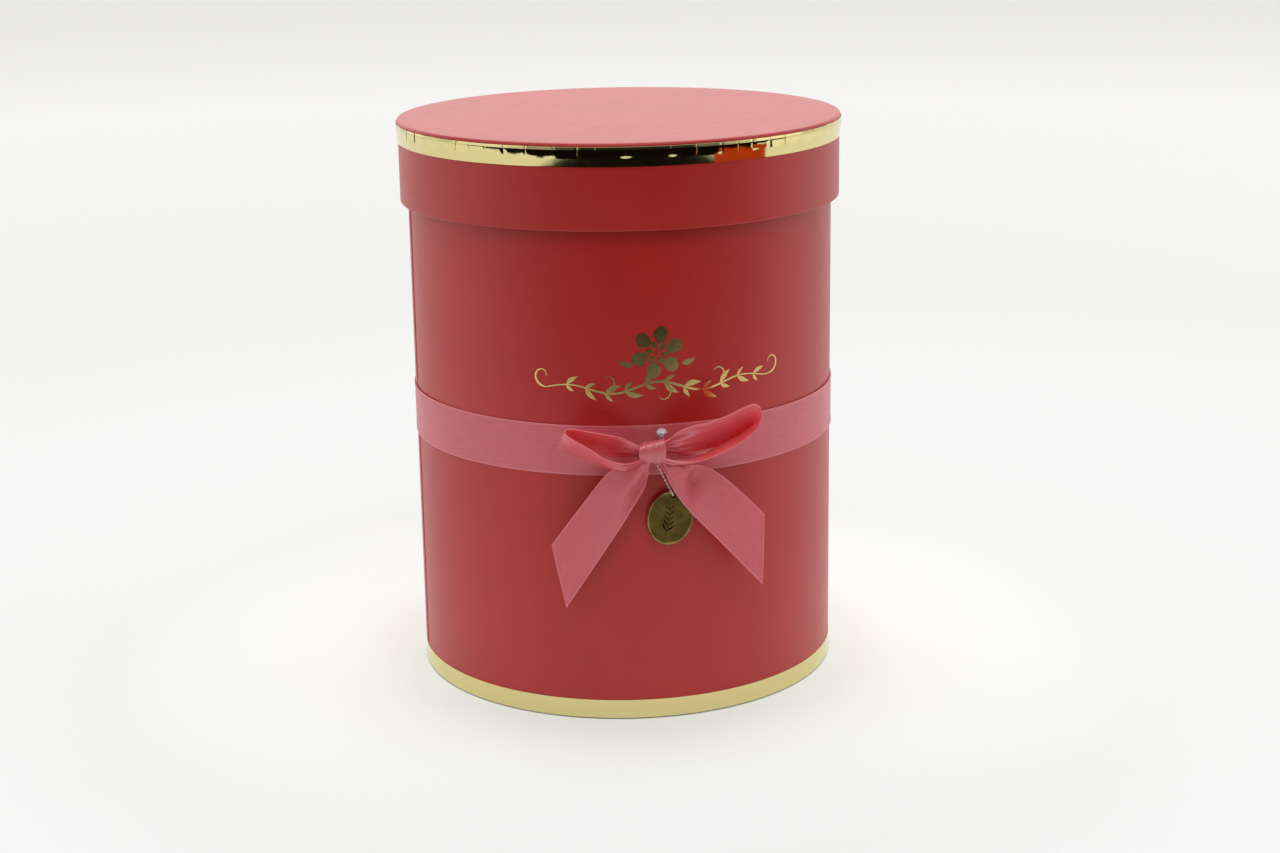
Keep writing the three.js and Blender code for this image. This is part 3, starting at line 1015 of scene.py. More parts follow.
def smooth_line(points: Sequence[Point3], count: int) -> np.ndarray:
    """A smooth line through given points.

    Args:
        points: The points, in order.
        count: Points on the result.

    Returns:
        The Catmull-Rom line, evenly spread over its length.
    """
    knots = np.array([points[0], *points, points[-1]], float)
    fine = []
    for i in range(1, len(knots) - 2):
        p0, p1, p2, p3 = knots[i - 1 : i + 3]
        for t in np.linspace(0, 1, 24, endpoint=False):
            bend = 2 * p1 + (p2 - p0) * t + (2 * p0 - 5 * p1 + 4 * p2 - p3) * t**2
            fine.append((bend + (3 * p1 - p0 - 3 * p2 + p3) * t**3) / 2)
    fine.append(knots[-2])
    line = np.array(fine)
    gone = np.concatenate([[0], np.cumsum(np.linalg.norm(np.diff(line, axis=0), axis=1))])
    even = np.linspace(0, gone[-1], count)
    return np.stack([np.interp(even, gone, line[:, k]) for k in range(3)], axis=1)


def row_metres(grid: np.ndarray, origin: Point3) -> np.ndarray:
    """Turns points of x, distance out and height, in millimetres, into metres from an origin."""
    return (grid * (MM, -MM, MM) + origin).reshape(-1, 3)


@dataclass
class RibbonStretch:
    """A stretch of ribbon between two laid edges, whose points are x, distance out and height. Millimetres."""

    name: str
    long: float  # of the flat ribbon that it is made from
    near: list[Point3]
    far: list[Point3]
    crown: float = 0.6  # how much the middle bows out of the straight between the edges
    pleats: int = 4
    pleat_depth: float = 0.9  # the deepest that they go
    phase: float = 0.6
    gather: tuple[float, float] = (0.34, 0.34)  # shares of the length that are pleated at each end
    creases: tuple[Crease, ...] = ()
    rows: int = 96
    columns: int = 28
    thick: float = 0.3

    def mesh(self, origin: Point3) -> bpy.types.Object:
        """Builds the stretch with its thickness and its UV map.

        Args:
            origin: The bow's origin in the row frame, in metres: on the band's face, at its middle height.

        Returns:
            The finished sheet.
        """
        near = smooth_line(self.near, self.rows)
        far = smooth_line(self.far, self.rows)
        along = np.gradient((near + far) / 2, axis=0)
        across = far - near
        facing = np.cross(along, across)
        facing /= np.linalg.norm(facing, axis=1)[:, None]
        share = np.linspace(0, 1, self.rows)
        start, end = self.gather
        tight = np.clip(1 - share / max(start, 1e-6), 0, 1)
        tight = tight + np.clip((share - 1) / max(end, 1e-6) + 1, 0, 1)
        tight = tight * tight * (3 - 2 * tight)
        width = np.linspace(0, 1, self.columns)
        grid = near[:, None] + across[:, None] * width[None, :, None]
        lift = self.crown * np.sin(math.pi * width)[None, :] * (1 - tight[:, None])
        depth = self.slack_depth(np.linalg.norm(across, axis=1)) * tight
        lift = lift + depth[:, None] * np.sin(2 * math.pi * self.pleats * width + self.phase)[None, :]
        for crease in self.creases:
            bump = np.exp(-(((share[:, None] - crease.along) / crease.long) ** 2))
            spread = np.exp(-(((width[None, :] - crease.across) / crease.wide) ** 2))
            lift = lift + crease.depth * bump * spread
        grid = grid + facing[:, None] * lift[:, :, None]
        return self.sheet(grid, near, far, origin)

    def slack_depth(self, chord: np.ndarray) -> np.ndarray:
        """How deep the pleats are where the edges are closer than the flat ribbon's width.

        Args:
            chord: The distance between the edges, row by row.

        Returns:
            The pleats' depth that takes up the spare cloth, up to a limit.
        """
        slopes = np.linspace(0, 12, 60)
        turn = np.linspace(0, 2 * math.pi, 90)
        ratios = np.array([np.sqrt(1 + (s * np.cos(turn)) ** 2).mean() for s in slopes])
        slope = np.interp(SATIN.width_mm / chord, ratios, slopes)
        return np.minimum(slope * chord / (2 * math.pi * self.pleats), self.pleat_depth)

    def sheet(
        self, grid: np.ndarray, near: np.ndarray, far: np.ndarray, origin: Point3
    ) -> bpy.types.Object:
        """Turns the grid of points into a solid sheet with a UV map in ribbon widths."""
        rows, columns = grid.shape[:2]
        piece = new_object(self.name, row_metres(grid, origin), grid_faces(rows, columns))
        middle = (near + far) / 2
        gone = np.concatenate([[0], np.cumsum(np.linalg.norm(np.diff(middle, axis=0), axis=1))])

        def on_cloth(_: bpy.types.MeshPolygon, vertex: int) -> Point2:
            """Reads a place across and along the stretch from the vertex's number."""
            row, column = divmod(vertex, columns)
            return column / (columns - 1), gone[row] / SATIN.width_mm

        lay_uv(piece, on_cloth)
        made = thickened(piece, self.thick)
        shade(made, 60)
        return made


@dataclass
class RibbonBow:
    """The ribbon band and the bow on it. Sizes in millimetres; heights are from the band's middle."""

    band_thick: float = 0.35
    flat_width: float = 20.0
    knot_thick: float = 0.3
    knot_flat: Point2 = (10.4, 27.0)  # the ribbon is folded in half along its length
    knot_wound: float = 1.35  # the knot's way round, in ribbon widths

    def __post_init__(self) -> None:
        """Finds the band and the bow's origin in the frame."""
        low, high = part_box("ribbon_band")
        self.band_radius = high.x / MM
        self.band_low, self.band_high = low.z / MM, high.z / MM
        middle = (low.z + high.z) / 2
        self.origin = (0.0, -high.x, middle)

    def build(self) -> None:
        """Builds the band, the loops, the tails, the knot and the glue behind it."""
        self.build_band()
        self.build_stretches()
        self.build_knot()
        self.build_pad()

    def build_band(self) -> None:
        """Builds the band, a little slack at its edges, with a woven edge line painted paler as a highlight."""
        inner = self.band_radius - self.band_thick
        stations = [self.band_low + (self.band_high - self.band_low) * s for s in np.linspace(0, 1, 9)]
        outside = [(self.band_radius, z) for z in stations]
        inside = [(inner, z) for z in reversed(stations)]

        def slack(turn: float, radius: float, height: float) -> float:
            """The band's edges stand off the wall a little, here and there."""
            edge = abs(height - (self.band_low + self.band_high) / 2) / (self.flat_width / 2)
            return 0.1 * edge**3 * (1 + math.sin(5 * turn + height)) + 0.05 * math.sin(3 * turn)

        band = revolve("ribbon_band_satin", outside + inside, shift=slack)

        def on_cloth(face: bpy.types.MeshPolygon, vertex: int) -> Point2:
            """Reads a place up and round the band, with no jump at its seam."""
            spot = band.data.vertices[vertex].co
            turn = math.atan2(spot.x, -spot.y) % (2 * math.pi)
            if turn < 0.01 and face.center.x < 0:
                turn = 2 * math.pi
            up = (spot.z / MM - self.band_low) / (self.band_high - self.band_low)
            return up, turn * self.band_radius / self.flat_width

        lay_uv(band, on_cloth)
        mount_piece(band, Body.BOX, SATIN, ["ribbon_band"])

    def build_stretches(self) -> None:
        """Builds the two loops and the two tails."""
        hanging = {"pleats": 2, "gather": (0.3, 0.0), "pleat_depth": 0.6}
        left_loop = RibbonStretch(
            "bow_left_loop_satin",
            77.0,
            near=[(-1.0, 7.6, 2.0), (-5.3, 9.0, 3.9), (-9.5, 10.5, 6.6), (-14.5, 12.0, 9.2),
                  (-24.6, 14.2, 12.2), (-30.5, 15.6, 14.0), (-33.6, 16.6, 14.4), (-34.4, 17.3, 12.9), (-31.5, 17.6, 10.4),
                  (-26.3, 17.0, 6.9), (-19.6, 15.0, 1.6), (-13.0, 12.4, -1.0), (-8.5, 10.2, -1.8),
                  (-4.0, 9.4, -0.8), (-1.0, 8.6, 0.4)],
            far=[(-1.0, 5.6, 0.4), (-5.6, 4.6, -0.6), (-10.5, 2.0, -2.0), (-20.0, 0.8, -1.2),
                 (-29.0, 0.5, 1.2), (-34.0, 0.6, 3.2), (-35.9, 1.6, 3.0), (-34.4, 2.9, 1.7), (-27.1, 4.0, -1.3),
                 (-19.3, 5.0, -4.4), (-11.5, 6.5, -6.0), (-5.5, 7.0, -4.3), (-1.0, 7.0, -1.6)],
            gather=(0.3, 0.3),
            pleat_depth=0.75,
            creases=(Crease(0.2, 0.35, 1.3, 0.07, 0.18), Crease(0.86, 0.45, 0.9, 0.07, 0.2)),
        )
        right_loop = RibbonStretch(
            "bow_right_loop_satin",
            90.0,
            near=[(1.0, 7.8, 3.0), (5.6, 9.2, 6.5), (10.2, 11.0, 10.4), (15.5, 12.3, 12.4),
                  (21.3, 13.2, 13.6), (28.5, 14.2, 16.2), (34.4, 15.0, 19.2), (38.4, 15.3, 20.4), (40.9, 15.0, 18.6),
                  (41.3, 14.8, 14.4), (38.6, 15.0, 9.4), (31.9, 15.4, 4.7), (23.9, 15.2, 0.9),
                  (16.0, 13.0, -2.3), (8.9, 10.6, -2.9), (4.0, 9.6, -1.8), (1.0, 9.0, -0.6)],
            far=[(1.0, 5.8, 0.8), (5.4, 5.6, 0.8), (12.0, 3.4, -2.2), (20.0, 1.9, -1.9), (28.0, 1.4, 1.0),
                 (35.0, 1.2, 4.6), (39.4, 1.3, 7.6), (40.3, 1.9, 7.9), (37.4, 2.2, 6.2), (31.5, 2.2, 3.4),
                 (26.0, 2.4, 0.9), (18.5, 4.0, -2.4), (10.8, 6.0, -3.5), (6.0, 7.0, -3.1), (1.0, 7.0, -1.8)],
            gather=(0.3, 0.26),
            pleat_depth=0.85,
            creases=(Crease(0.14, 0.4, 1.1, 0.05, 0.15), Crease(0.3, 0.5, -1.2, 0.1, 0.24)),
        )
        left_tail = RibbonStretch(
            "bow_left_tail_satin",
            62.0,
            near=[(-1.5, 8.2, 0.5), (-7.5, 7.4, -3.4), (-14.2, 7.0, -4.9), (-18.5, 6.5, -7.6),
                  (-27.6, 4.5, -19.6), (-39.5, 2.0, -36.0)],
            far=[(1.5, 8.2, 0.5), (-1.2, 7.6, -3.9), (-1.9, 7.0, -9.0), (-3.8, 6.0, -15.5),
                 (-10.2, 4.5, -26.1), (-18.4, 3.0, -38.8), (-34.3, 2.0, -62.3)],
            crown=-0.6,
            **hanging,
            creases=(Crease(0.24, 0.84, 3.0, 0.15, 0.16), Crease(0.26, 0.52, -1.0, 0.14, 0.14)),
        )
        right_tail = RibbonStretch(
            "bow_right_tail_satin",
            62.0,
            near=[(1.5, 8.2, 1.0), (9.9, 7.8, -3.4), (20.0, 7.0, -5.7), (26.9, 6.4, -9.6),
                  (36.0, 4.5, -18.4), (44.7, 2.0, -27.8)],
            far=[(-1.5, 8.2, 0.5), (3.5, 7.8, -5.0), (7.5, 7.0, -13.7), (14.6, 6.0, -24.2),
                 (27.1, 4.0, -38.2), (44.0, 2.0, -57.3)],
            crown=0.6,
            **hanging,
            creases=(Crease(0.22, 0.34, 3.0, 0.07, 0.3), Crease(0.34, 0.42, -3.3, 0.06, 0.32)),
        )
        for stretch in (left_loop, right_loop, left_tail, right_tail):
            piece = stretch.mesh(self.origin)
            node = stretch.name.removesuffix("_satin")
            # the loops take the paler lit copy of the satin, painted light; the tails take the plain satin
            if "loop" in node:
                finish, held, under = SATIN_PAINTED_PALER, "gathered", "ribbon_band_satin"
            else:
                finish, held, under = SATIN, "hung", "body_wrap_paper"
            mount_piece(piece, Body.BOX, finish, [node])

    def build_knot(self) -> None:
        """Builds the knot's wrap: a gathered band of ribbon round the bow's middle, taller on its right."""
        across = np.linspace(0, 1, 40)
        around = np.linspace(0, 2 * math.pi, 72, endpoint=False)
        left_edge, right_edge = -5.4, 4.9
        back, front = 4.6, 9.9
        middle_out, deep = (front + back) / 2, (front - back) / 2
        power = 2 / 2.7  # squarer than an ellipse
        points = np.empty((len(across), len(around), 3))
        for i, share in enumerate(across):
            x = left_edge + (right_edge - left_edge) * share
            low = -2.3 - 1.5 * share
            high = 4.0 + 2.1 * share
            middle_up, tall = (low + high) / 2, (high - low) / 2
            roll = 0.55 * (2 * share - 1) ** 6  # the ribbon's edges tuck in
            crease = 0.16 * math.sin(2 * math.pi * (3.2 * share + 0.15))
            crease += 0.1 * math.sin(2 * math.pi * 7 * share)
            for j, turn in enumerate(around):
                c, s = math.cos(turn), math.sin(turn)
                out = middle_out + deep * math.copysign(abs(c) ** power, c)
                up = middle_up + tall * math.copysign(abs(s) ** power, s)
                push = crease * max(0.0, c) - roll
                reach = math.hypot(out - middle_out, up - middle_up)
                out += (out - middle_out) / reach * push
                up += (up - middle_up) / reach * push
                points[i, j] = (x - 0.25 * s * (1 - 2 * share), out, up)
        count = len(around)
        faces = grid_faces(len(across), count, closed=True)
        knot = new_object("bow_knot_satin", row_metres(points, self.origin), faces)

        def on_cloth(face: bpy.types.MeshPolygon, vertex: int) -> Point2:
            """Reads a place across and round the knot, with no jump at its seam."""
            i, j = divmod(vertex, count)
            wrapped = face.index % count == count - 1 and j == 0
            return across[i], (count if wrapped else j) / count * self.knot_wound

        lay_uv(knot, on_cloth)
        knot = thickened(knot, self.knot_thick)
        shade(knot, 60)
        # the knot takes the paler lit copy of the satin: painted light
        mount_piece(knot, Body.BOX, SATIN_PAINTED_PALER, ["bow_knot"])

    def build_pad(self) -> None:
        """Builds the dab of hot glue that holds the knot to the band."""
        low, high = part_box("bow_glue_pad")
        centre = (low + high) / 2
        half = (high - low) / 2
        mesh = bpy.data.meshes.new("bow_glue_dab")
        with edited(mesh) as shape:
            bmesh.ops.create_icosphere(shape, subdivisions=4, radius=1.0)
            for vertex in shape.verts:
                n = vertex.co.normalized()
                squared = Vector([math.copysign(abs(c) ** 0.6, c) for c in n])
                lump = 1 + 0.05 * math.sin(9 * n.x + 4) * math.sin(8 * n.z)
                vertex.co = centre + Vector([squared[k] * half[k] * lump * 0.94 for k in range(3)])
        pad = linked("bow_glue_dab", mesh)
        mesh.shade_smooth()
        mount_piece(pad, Body.BOX, GLUE, ["bow_glue_pad"])


# ---------------------------------------------------------------- foil print


@dataclass
class FoilPrint:
    """The stamped blossom and trailing vine on the body's front. Millimetres on the unrolled wall."""

    lift: float = 0.04
    thick: float = 0.05
    blossom: Point2 = (3.4, 150.6)
    petals: int = 6
    vine_start: float = -40.0
    vine_end: float = 52.0
    vine_height: float = 136.8

    def __post_init__(self) -> None:
        """Reads the wall's radius from the frame."""
        self.radius = paper_limits("body_wrap")[0] + self.lift

    def on_wall(self, arc: float, height: float, out: float = 0.0) -> Point3:
        """A point of the unrolled wall, rolled round the body, in metres."""
        turn = arc / self.radius
        reach = (self.radius + out) * MM
        return reach * math.sin(turn), -reach * math.cos(turn), height * MM

    def stamp(self, name: str, outlines: Sequence[Sequence[Point2]]) -> bpy.types.Object:
        """Turns flat outlines into thin foil that follows the wall.

        Args:
            name: The piece's name.
            outlines: Each a pair of equal lines, down one side and back up the other.

        Returns:
            The foil as one mesh object.
        """
        vertices: list[Point3] = []
        faces: list[list[int]] = []
        across = 5
        for outline in outlines:
            half = len(outline) // 2
            base = len(vertices)
            for left, right in zip(outline[:half], outline[: half - 1 : -1]):
                for share in np.linspace(0, 1, across):
                    arc = left[0] + (right[0] - left[0]) * share
                    vertices.append(self.on_wall(arc, left[1] + (right[1] - left[1]) * share, self.thick))
            faces += grid_faces(half, across, base=base)
        piece = new_object(name, np.array(vertices), faces)
        with edited(piece.data) as outwards:
            for face in outwards.faces:
                middle = face.calc_center_median()
                if face.normal.dot(Vector((middle.x, middle.y, 0))) < 0:
                    face.normal_flip()
        return thickened(piece, self.thick, -1.0)

    @staticmethod
    def brush(
        line: Sequence[Point2], widest: float, swell: float = 0.5, least: float = 0.14
    ) -> list[Point2]:
        """A pen stroke along a line, thin at both ends.

        Args:
            line: The stroke's middle line.
            widest: Its greatest width.
            swell: Where along it is widest, as a share.
            least: Its width at the ends.

        Returns:
            The stroke's outline, down one side and back up the other.
        """
        points = np.array(line, float)
        lean = np.gradient(points, axis=0)
        side = np.stack([-lean[:, 1], lean[:, 0]], axis=1)
        side /= np.linalg.norm(side, axis=1)[:, None]
        share = np.linspace(0, 1, len(points))
        bend = np.where(share < swell, share / swell, (1 - share) / (1 - swell))
        half = (least + (widest - least) * np.sin(bend * math.pi / 2) ** 1.3) / 2
        one = points + side * half[:, None]
        other = points - side * half[:, None]
        return [tuple(p) for p in one] + [tuple(p) for p in other[::-1]]

    def curl(
        self, start: Point2, heading: float, length: float, turn: float, tighten: float
    ) -> list[Point2]:
        """A line that curls up like a tendril.

        Args:
            start: Where it leaves.
            heading: Its first direction, in radians.
            length: Its length.
            turn: Its first bend, radians for each millimetre.
            tighten: How much faster it bends at its end.

        Returns:
            Points along it.
        """
        steps = 40
        x, y = start
        line = [start]
        for k in range(steps):
            x += math.cos(heading) * length / steps
            y += math.sin(heading) * length / steps
            heading += turn * (1 + tighten * (k / steps) ** 2) * length / steps
            line.append((x, y))
        return line

    def petal(self, centre: Point2, angle: float, reach: float, wide: float, start: float) -> list[Point2]:
        """A petal's outline, narrow at its root and fullest past its middle, with a round tip."""
        middle = []
        for share in (1 - np.cos(np.linspace(0, math.pi, 26))) / 2:
            along = start + (reach - start) * share
            lean = angle + 0.22 * share**2
            middle.append((centre[0] + along * math.cos(lean), centre[1] + along * math.sin(lean)))
        return self.brush(middle, wide, swell=0.62, least=0.1)

    def blossom_outlines(self) -> list[list[Point2]]:
        """A round blossom from above: two rings of petals with paper between, and a seeded middle."""
        outlines = []
        for reach, wide, start, shift in ((9.9, 5.8, 3.7, 0.0), (4.4, 2.1, 1.6, 0.5)):
            for k in range(self.petals):
                angle = 2 * math.pi * (k + shift) / self.petals + 0.26
                outlines.append(self.petal(self.blossom, angle, reach, wide, start))
        for k in range(5):
            turn = 2 * math.pi * k / 5
            spot = (self.blossom[0] + 0.75 * math.cos(turn), self.blossom[1] + 0.75 * math.sin(turn))
            outlines.append(self.brush([(spot[0] - 0.3, spot[1]), spot, (spot[0] + 0.3, spot[1])], 0.5))
        for side in (-1, 1):
            stem = (self.blossom[0] + side * 9.2, self.blossom[1] - 4.4)
            heading = -0.25 if side > 0 else math.pi + 0.25
            outlines.append(self.brush(self.curl(stem, heading, 6.5, 0.16 * side, 0.5), 2.3, 0.4))
        return outlines

    def vine_point(self, share: float) -> Point2:
        """A point of the vine's main stem, a slow wave that dies away at its ends."""
        arc = self.vine_start + (self.vine_end - self.vine_start) * share
        swing = 2.3 * math.sin(2 * math.pi * 2.5 * share + 0.4) * math.sin(math.pi * share) ** 0.4
        return arc, self.vine_height + swing

    def vine_outlines(self) -> list[list[Point2]]:
        """The stem with paired leaves and a tendril at each bend."""
        stem = [self.vine_point(s) for s in np.linspace(0, 1, 160)]
        outlines = [self.brush(stem, 1.0, 0.5, 0.4)]
        sprigs = 12
        for k in range(1, sprigs):
            share = k / sprigs
            root = self.vine_point(share)
            after = self.vine_point(share + 0.01)
            heading = math.atan2(after[1] - root[1], after[0] - root[0])
            side = 1 if k % 2 else -1
            size = 0.7 + 0.3 * math.sin(math.pi * share)
            leaf = self.curl(root, heading + side * 0.85, 7.6 * size, -0.09 * side, 0.0)
            outlines.append(self.brush(leaf, 2.3 * size, 0.45, 0.16))
            small = self.curl(root, heading - side * 0.95, 5.2 * size, 0.12 * side, 0.0)
            outlines.append(self.brush(small, 1.6 * size, 0.45, 0.16))
            if k % 3 == 0:
                tendril = self.curl(root, heading + side * 0.35, 12.0 * size, side * 0.2, 2.2)
                outlines.append(self.brush(tendril, 0.6, 0.3, 0.25))
        for end, heading in ((0.0, math.pi), (1.0, 0.0)):
            side = 1 if end else -1
            curl = self.curl(self.vine_point(end), heading, 15.0, side * 0.2, 2.4)
            outlines.append(self.brush(curl, 0.8, 0.2, 0.25))
        return outlines

    def build(self) -> None:
        """Builds and dresses the two stampings."""
        for name, outlines in (
            ("foil_print_blossom", self.blossom_outlines()),
            ("foil_print_vine", self.vine_outlines()),
        ):
            piece = self.stamp(name, outlines)
            mount_piece(piece, Body.BOX, PRINT_GOLD)


# ---------------------------------------------------------------- pin, chain and medal


@dataclass
class BowPin:
    """The crystal-headed pin. Sizes in millimetres."""

    facets: int = 8

    def build(self) -> None:
        """Builds the stone, its cup with claws, and the shaft."""
        low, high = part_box("pin_crystal")
        centre = (low + high) / 2
        wide = (high.x - low.x) / 2 / MM
        bottom, top = low.z / MM, high.z / MM
        girdle = bottom + 0.58 * (top - bottom)
        rings = [
            (0.12 * wide, bottom, 0.0),
            (0.66 * wide, bottom + 0.42 * (girdle - bottom), 0.5),
            (wide, girdle - 0.12, 0.0),
            (wide, girdle + 0.12, 0.0),
            (0.82 * wide, girdle + 0.5 * (top - girdle), 0.5),
            (0.55 * wide, top, 0.0),
        ]
        stone = self.faceted("bow_pin_stone", rings, centre)
        mount_piece(stone, Body.PIN, CRYSTAL, ["pin_crystal"])
        self.build_cup(centre, bottom, girdle, wide)
        self.build_shaft()

    def faceted(self, name: str, rings: Sequence[Point3], centre: Vector) -> bpy.types.Object:
        """Builds a cut stone from rings of corners, each turned by a share of a facet."""
        vertices: list[Point3] = []
        for radius, height, twist in rings:
            for k in range(self.facets):
                turn = 2 * math.pi * (k + twist) / self.facets
                x, y = radius * math.cos(turn) * MM, radius * math.sin(turn) * MM
                vertices.append((centre.x + x, centre.y + y, height * MM))
        n = self.facets
        faces: list[list[int]] = [list(range(n)), list(range((len(rings) - 1) * n, len(rings) * n))]
        for ring in range(len(rings) - 1):
            shift = round(2 * (rings[ring][2] - rings[ring + 1][2]))
            for k in range(n):
                a, b = ring * n + k, ring * n + (k + 1) % n
                c, d = (ring + 1) * n + k, (ring + 1) * n + (k + 1) % n
                if shift == 0:
                    faces.append([a, b, d, c])
                elif shift < 0:
                    faces += [[a, b, c], [b, d, c]]
                else:
                    faces += [[a, d, c], [a, b, d]]
        piece = new_object(name, np.array(vertices), faces)
        with edited(piece.data) as shape:
            bmesh.ops.recalc_face_normals(shape, faces=shape.faces)
        return piece

    def build_cup(self, centre: Vector, bottom: float, girdle: float, wide: float) -> None:
        """Builds the metal cup with four claws up the stone's sides."""
        low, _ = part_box("pin_cup")
        foot = low.z / MM
        outline = [(0, foot), (0.45, foot), (0.62, foot + 0.25), (0.55, foot + 0.5), (0.95, bottom + 0.25),
                   (0.8, bottom + 0.3), (0, bottom - 0.05)]
        cup = revolve("bow_pin_cup", outline, 32)
        cup.data.transform(Matrix.Translation((centre.x, centre.y, 0)))
        low_end = Vector((0.8, 0, bottom + 0.2))
        high_end = Vector((wide * 0.9, 0, girdle + 0.15))
        rise = high_end - low_end
        size = {"radius1": 0.2 * MM, "radius2": 0.13 * MM, "depth": rise.length * MM}
        middle = Matrix.Translation((low_end + high_end) / 2 * MM)
        lie = rise.to_track_quat("Z", "Y").to_matrix().to_4x4()
        with edited(cup.data) as claws:
            for k in range(4):
                around = Matrix.Rotation(math.pi / 4 + k * math.pi / 2, 4, "Z")
                place = Matrix.Translation((centre.x, centre.y, 0)) @ around @ middle @ lie
                bmesh.ops.create_cone(claws, cap_ends=True, segments=10, matrix=place, **size)
        cup.data.shade_smooth()
        mount_piece(cup, Body.PIN, NICKEL, ["pin_cup"])

    def build_shaft(self) -> None:
        """Builds the shaft, drawn to a point."""
        low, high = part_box("pin_shaft")
        centre = (low + high) / 2
        thick = (high.x - low.x) / 2 / MM
        foot = low.z / MM
        head = high.z / MM + 0.4  # a little into the cup
        point = [(0, foot), (0.12, foot + 0.5), (0.28, foot + 1.6), (thick, foot + 3.2)]
        outline = [*point, (thick, head), (0, head)]
        shaft = revolve("bow_pin_shaft", outline, 24)
        shaft.data.transform(Matrix.Translation((centre.x, centre.y, 0)))
        mount_piece(shaft, Body.PIN, NICKEL, ["pin_shaft"])


@dataclass
class BallChain:
    """The ball chain and the jump ring at its end. Sizes in millimetres."""

    bead: float = 0.46
    pitch: float = 1.6
    link: float = 0.12
    ring: float = 1.7
    wire: float = 0.3

    def build(self) -> None:
        """Builds the ring and the chain above it."""
        joints = {j["name"]: j for j in frame["joints"]}
        top = Vector(joints["chain_swing"]["pos_m"])
        eye = Vector(joints["medal_swing"]["pos_m"])
        up = (top - eye).normalized()
        self.build_ring(eye, up)
        start = eye + up * (2 * self.ring + self.wire + 0.25) * MM
        self.build_chain(start, top + up * 0.6 * MM)

    def build_ring(self, eye: Vector, up: Vector) -> None:
        """Builds a bent-wire ring, its ends almost meeting at the top.

        Args:
            eye: The medal's hole.
            up: The direction from the hole to the chain.
        """
        turns = np.linspace(math.radians(6), math.radians(354), 60)
        round_wire = np.linspace(0, 2 * math.pi, 14, endpoint=False)
        vertices = []
        out = Vector((0, 1, 0))
        side = up.cross(out)
        centre = eye + up * self.ring * MM
        for turn in turns:
            arm = up * math.cos(turn) + out * math.sin(turn)
            for spin in round_wire:
                reach = self.ring + self.wire * math.cos(spin)
                vertices.append(centre + (arm * reach + side * self.wire * math.sin(spin)) * MM)
        n = len(round_wire)
        faces = grid_faces(len(turns), n, closed=True)
        faces += [tuple(range(n)), tuple(range((len(turns) - 1) * n, len(turns) * n))]
        ring = new_object("charm_jump_ring", np.array(vertices), faces)
        face_outwards(ring)
        mount_piece(ring, Body.CHAIN, NICKEL, ["jump_ring"])

    def build_chain(self, start: Vector, end: Vector) -> None:
        """Strings beads on a link wire with Geometry Nodes.

        Args:
            start: The lowest bead's place.
            end: Where the chain goes under the knot.
        """
        length = (end - start).length
        sizes = {"Bead Radius": self.bead * MM, "Link Radius": self.link * MM}
        sizes["Pitch"] = length / round(length / (self.pitch * MM))
        tree, given = geometry_tree("ball_chain_beads", sizes)
        size = given.outputs
        ends = {"Start": tuple(start), "End": tuple(end)}
        line = add_node(tree, "GeometryNodeCurvePrimitiveLine", values=ends)
        spacing = {"Curve": line, "Length": size["Pitch"]}
        spaced = add_node(tree, "GeometryNodeResampleCurve", spacing, mode="LENGTH")
        facets = {"Segments": 16, "Rings": 10}
        bead = add_node(tree, "GeometryNodeMeshUVSphere", {"Radius": size["Bead Radius"]}, facets)
        beads = add_node(tree, "GeometryNodeInstanceOnPoints", {"Points": spaced, "Instance": bead})
        thin = {"Radius": size["Link Radius"]}
        section = add_node(tree, "GeometryNodeCurvePrimitiveCircle", thin, {"Resolution": 10})
        curves = {"Curve": line, "Profile Curve": section}
        wire = add_node(tree, "GeometryNodeCurveToMesh", curves, {"Fill Caps": True})
        both = add_node(tree, "GeometryNodeJoinGeometry", {"Geometry": wire})
        tree.links.new(beads.outputs[0], both.inputs[0])
        chain = grow("charm_ball_chain", tree, both, NICKEL, sizes)
        mount_piece(chain, Body.CHAIN, None, ["ball_chain"])


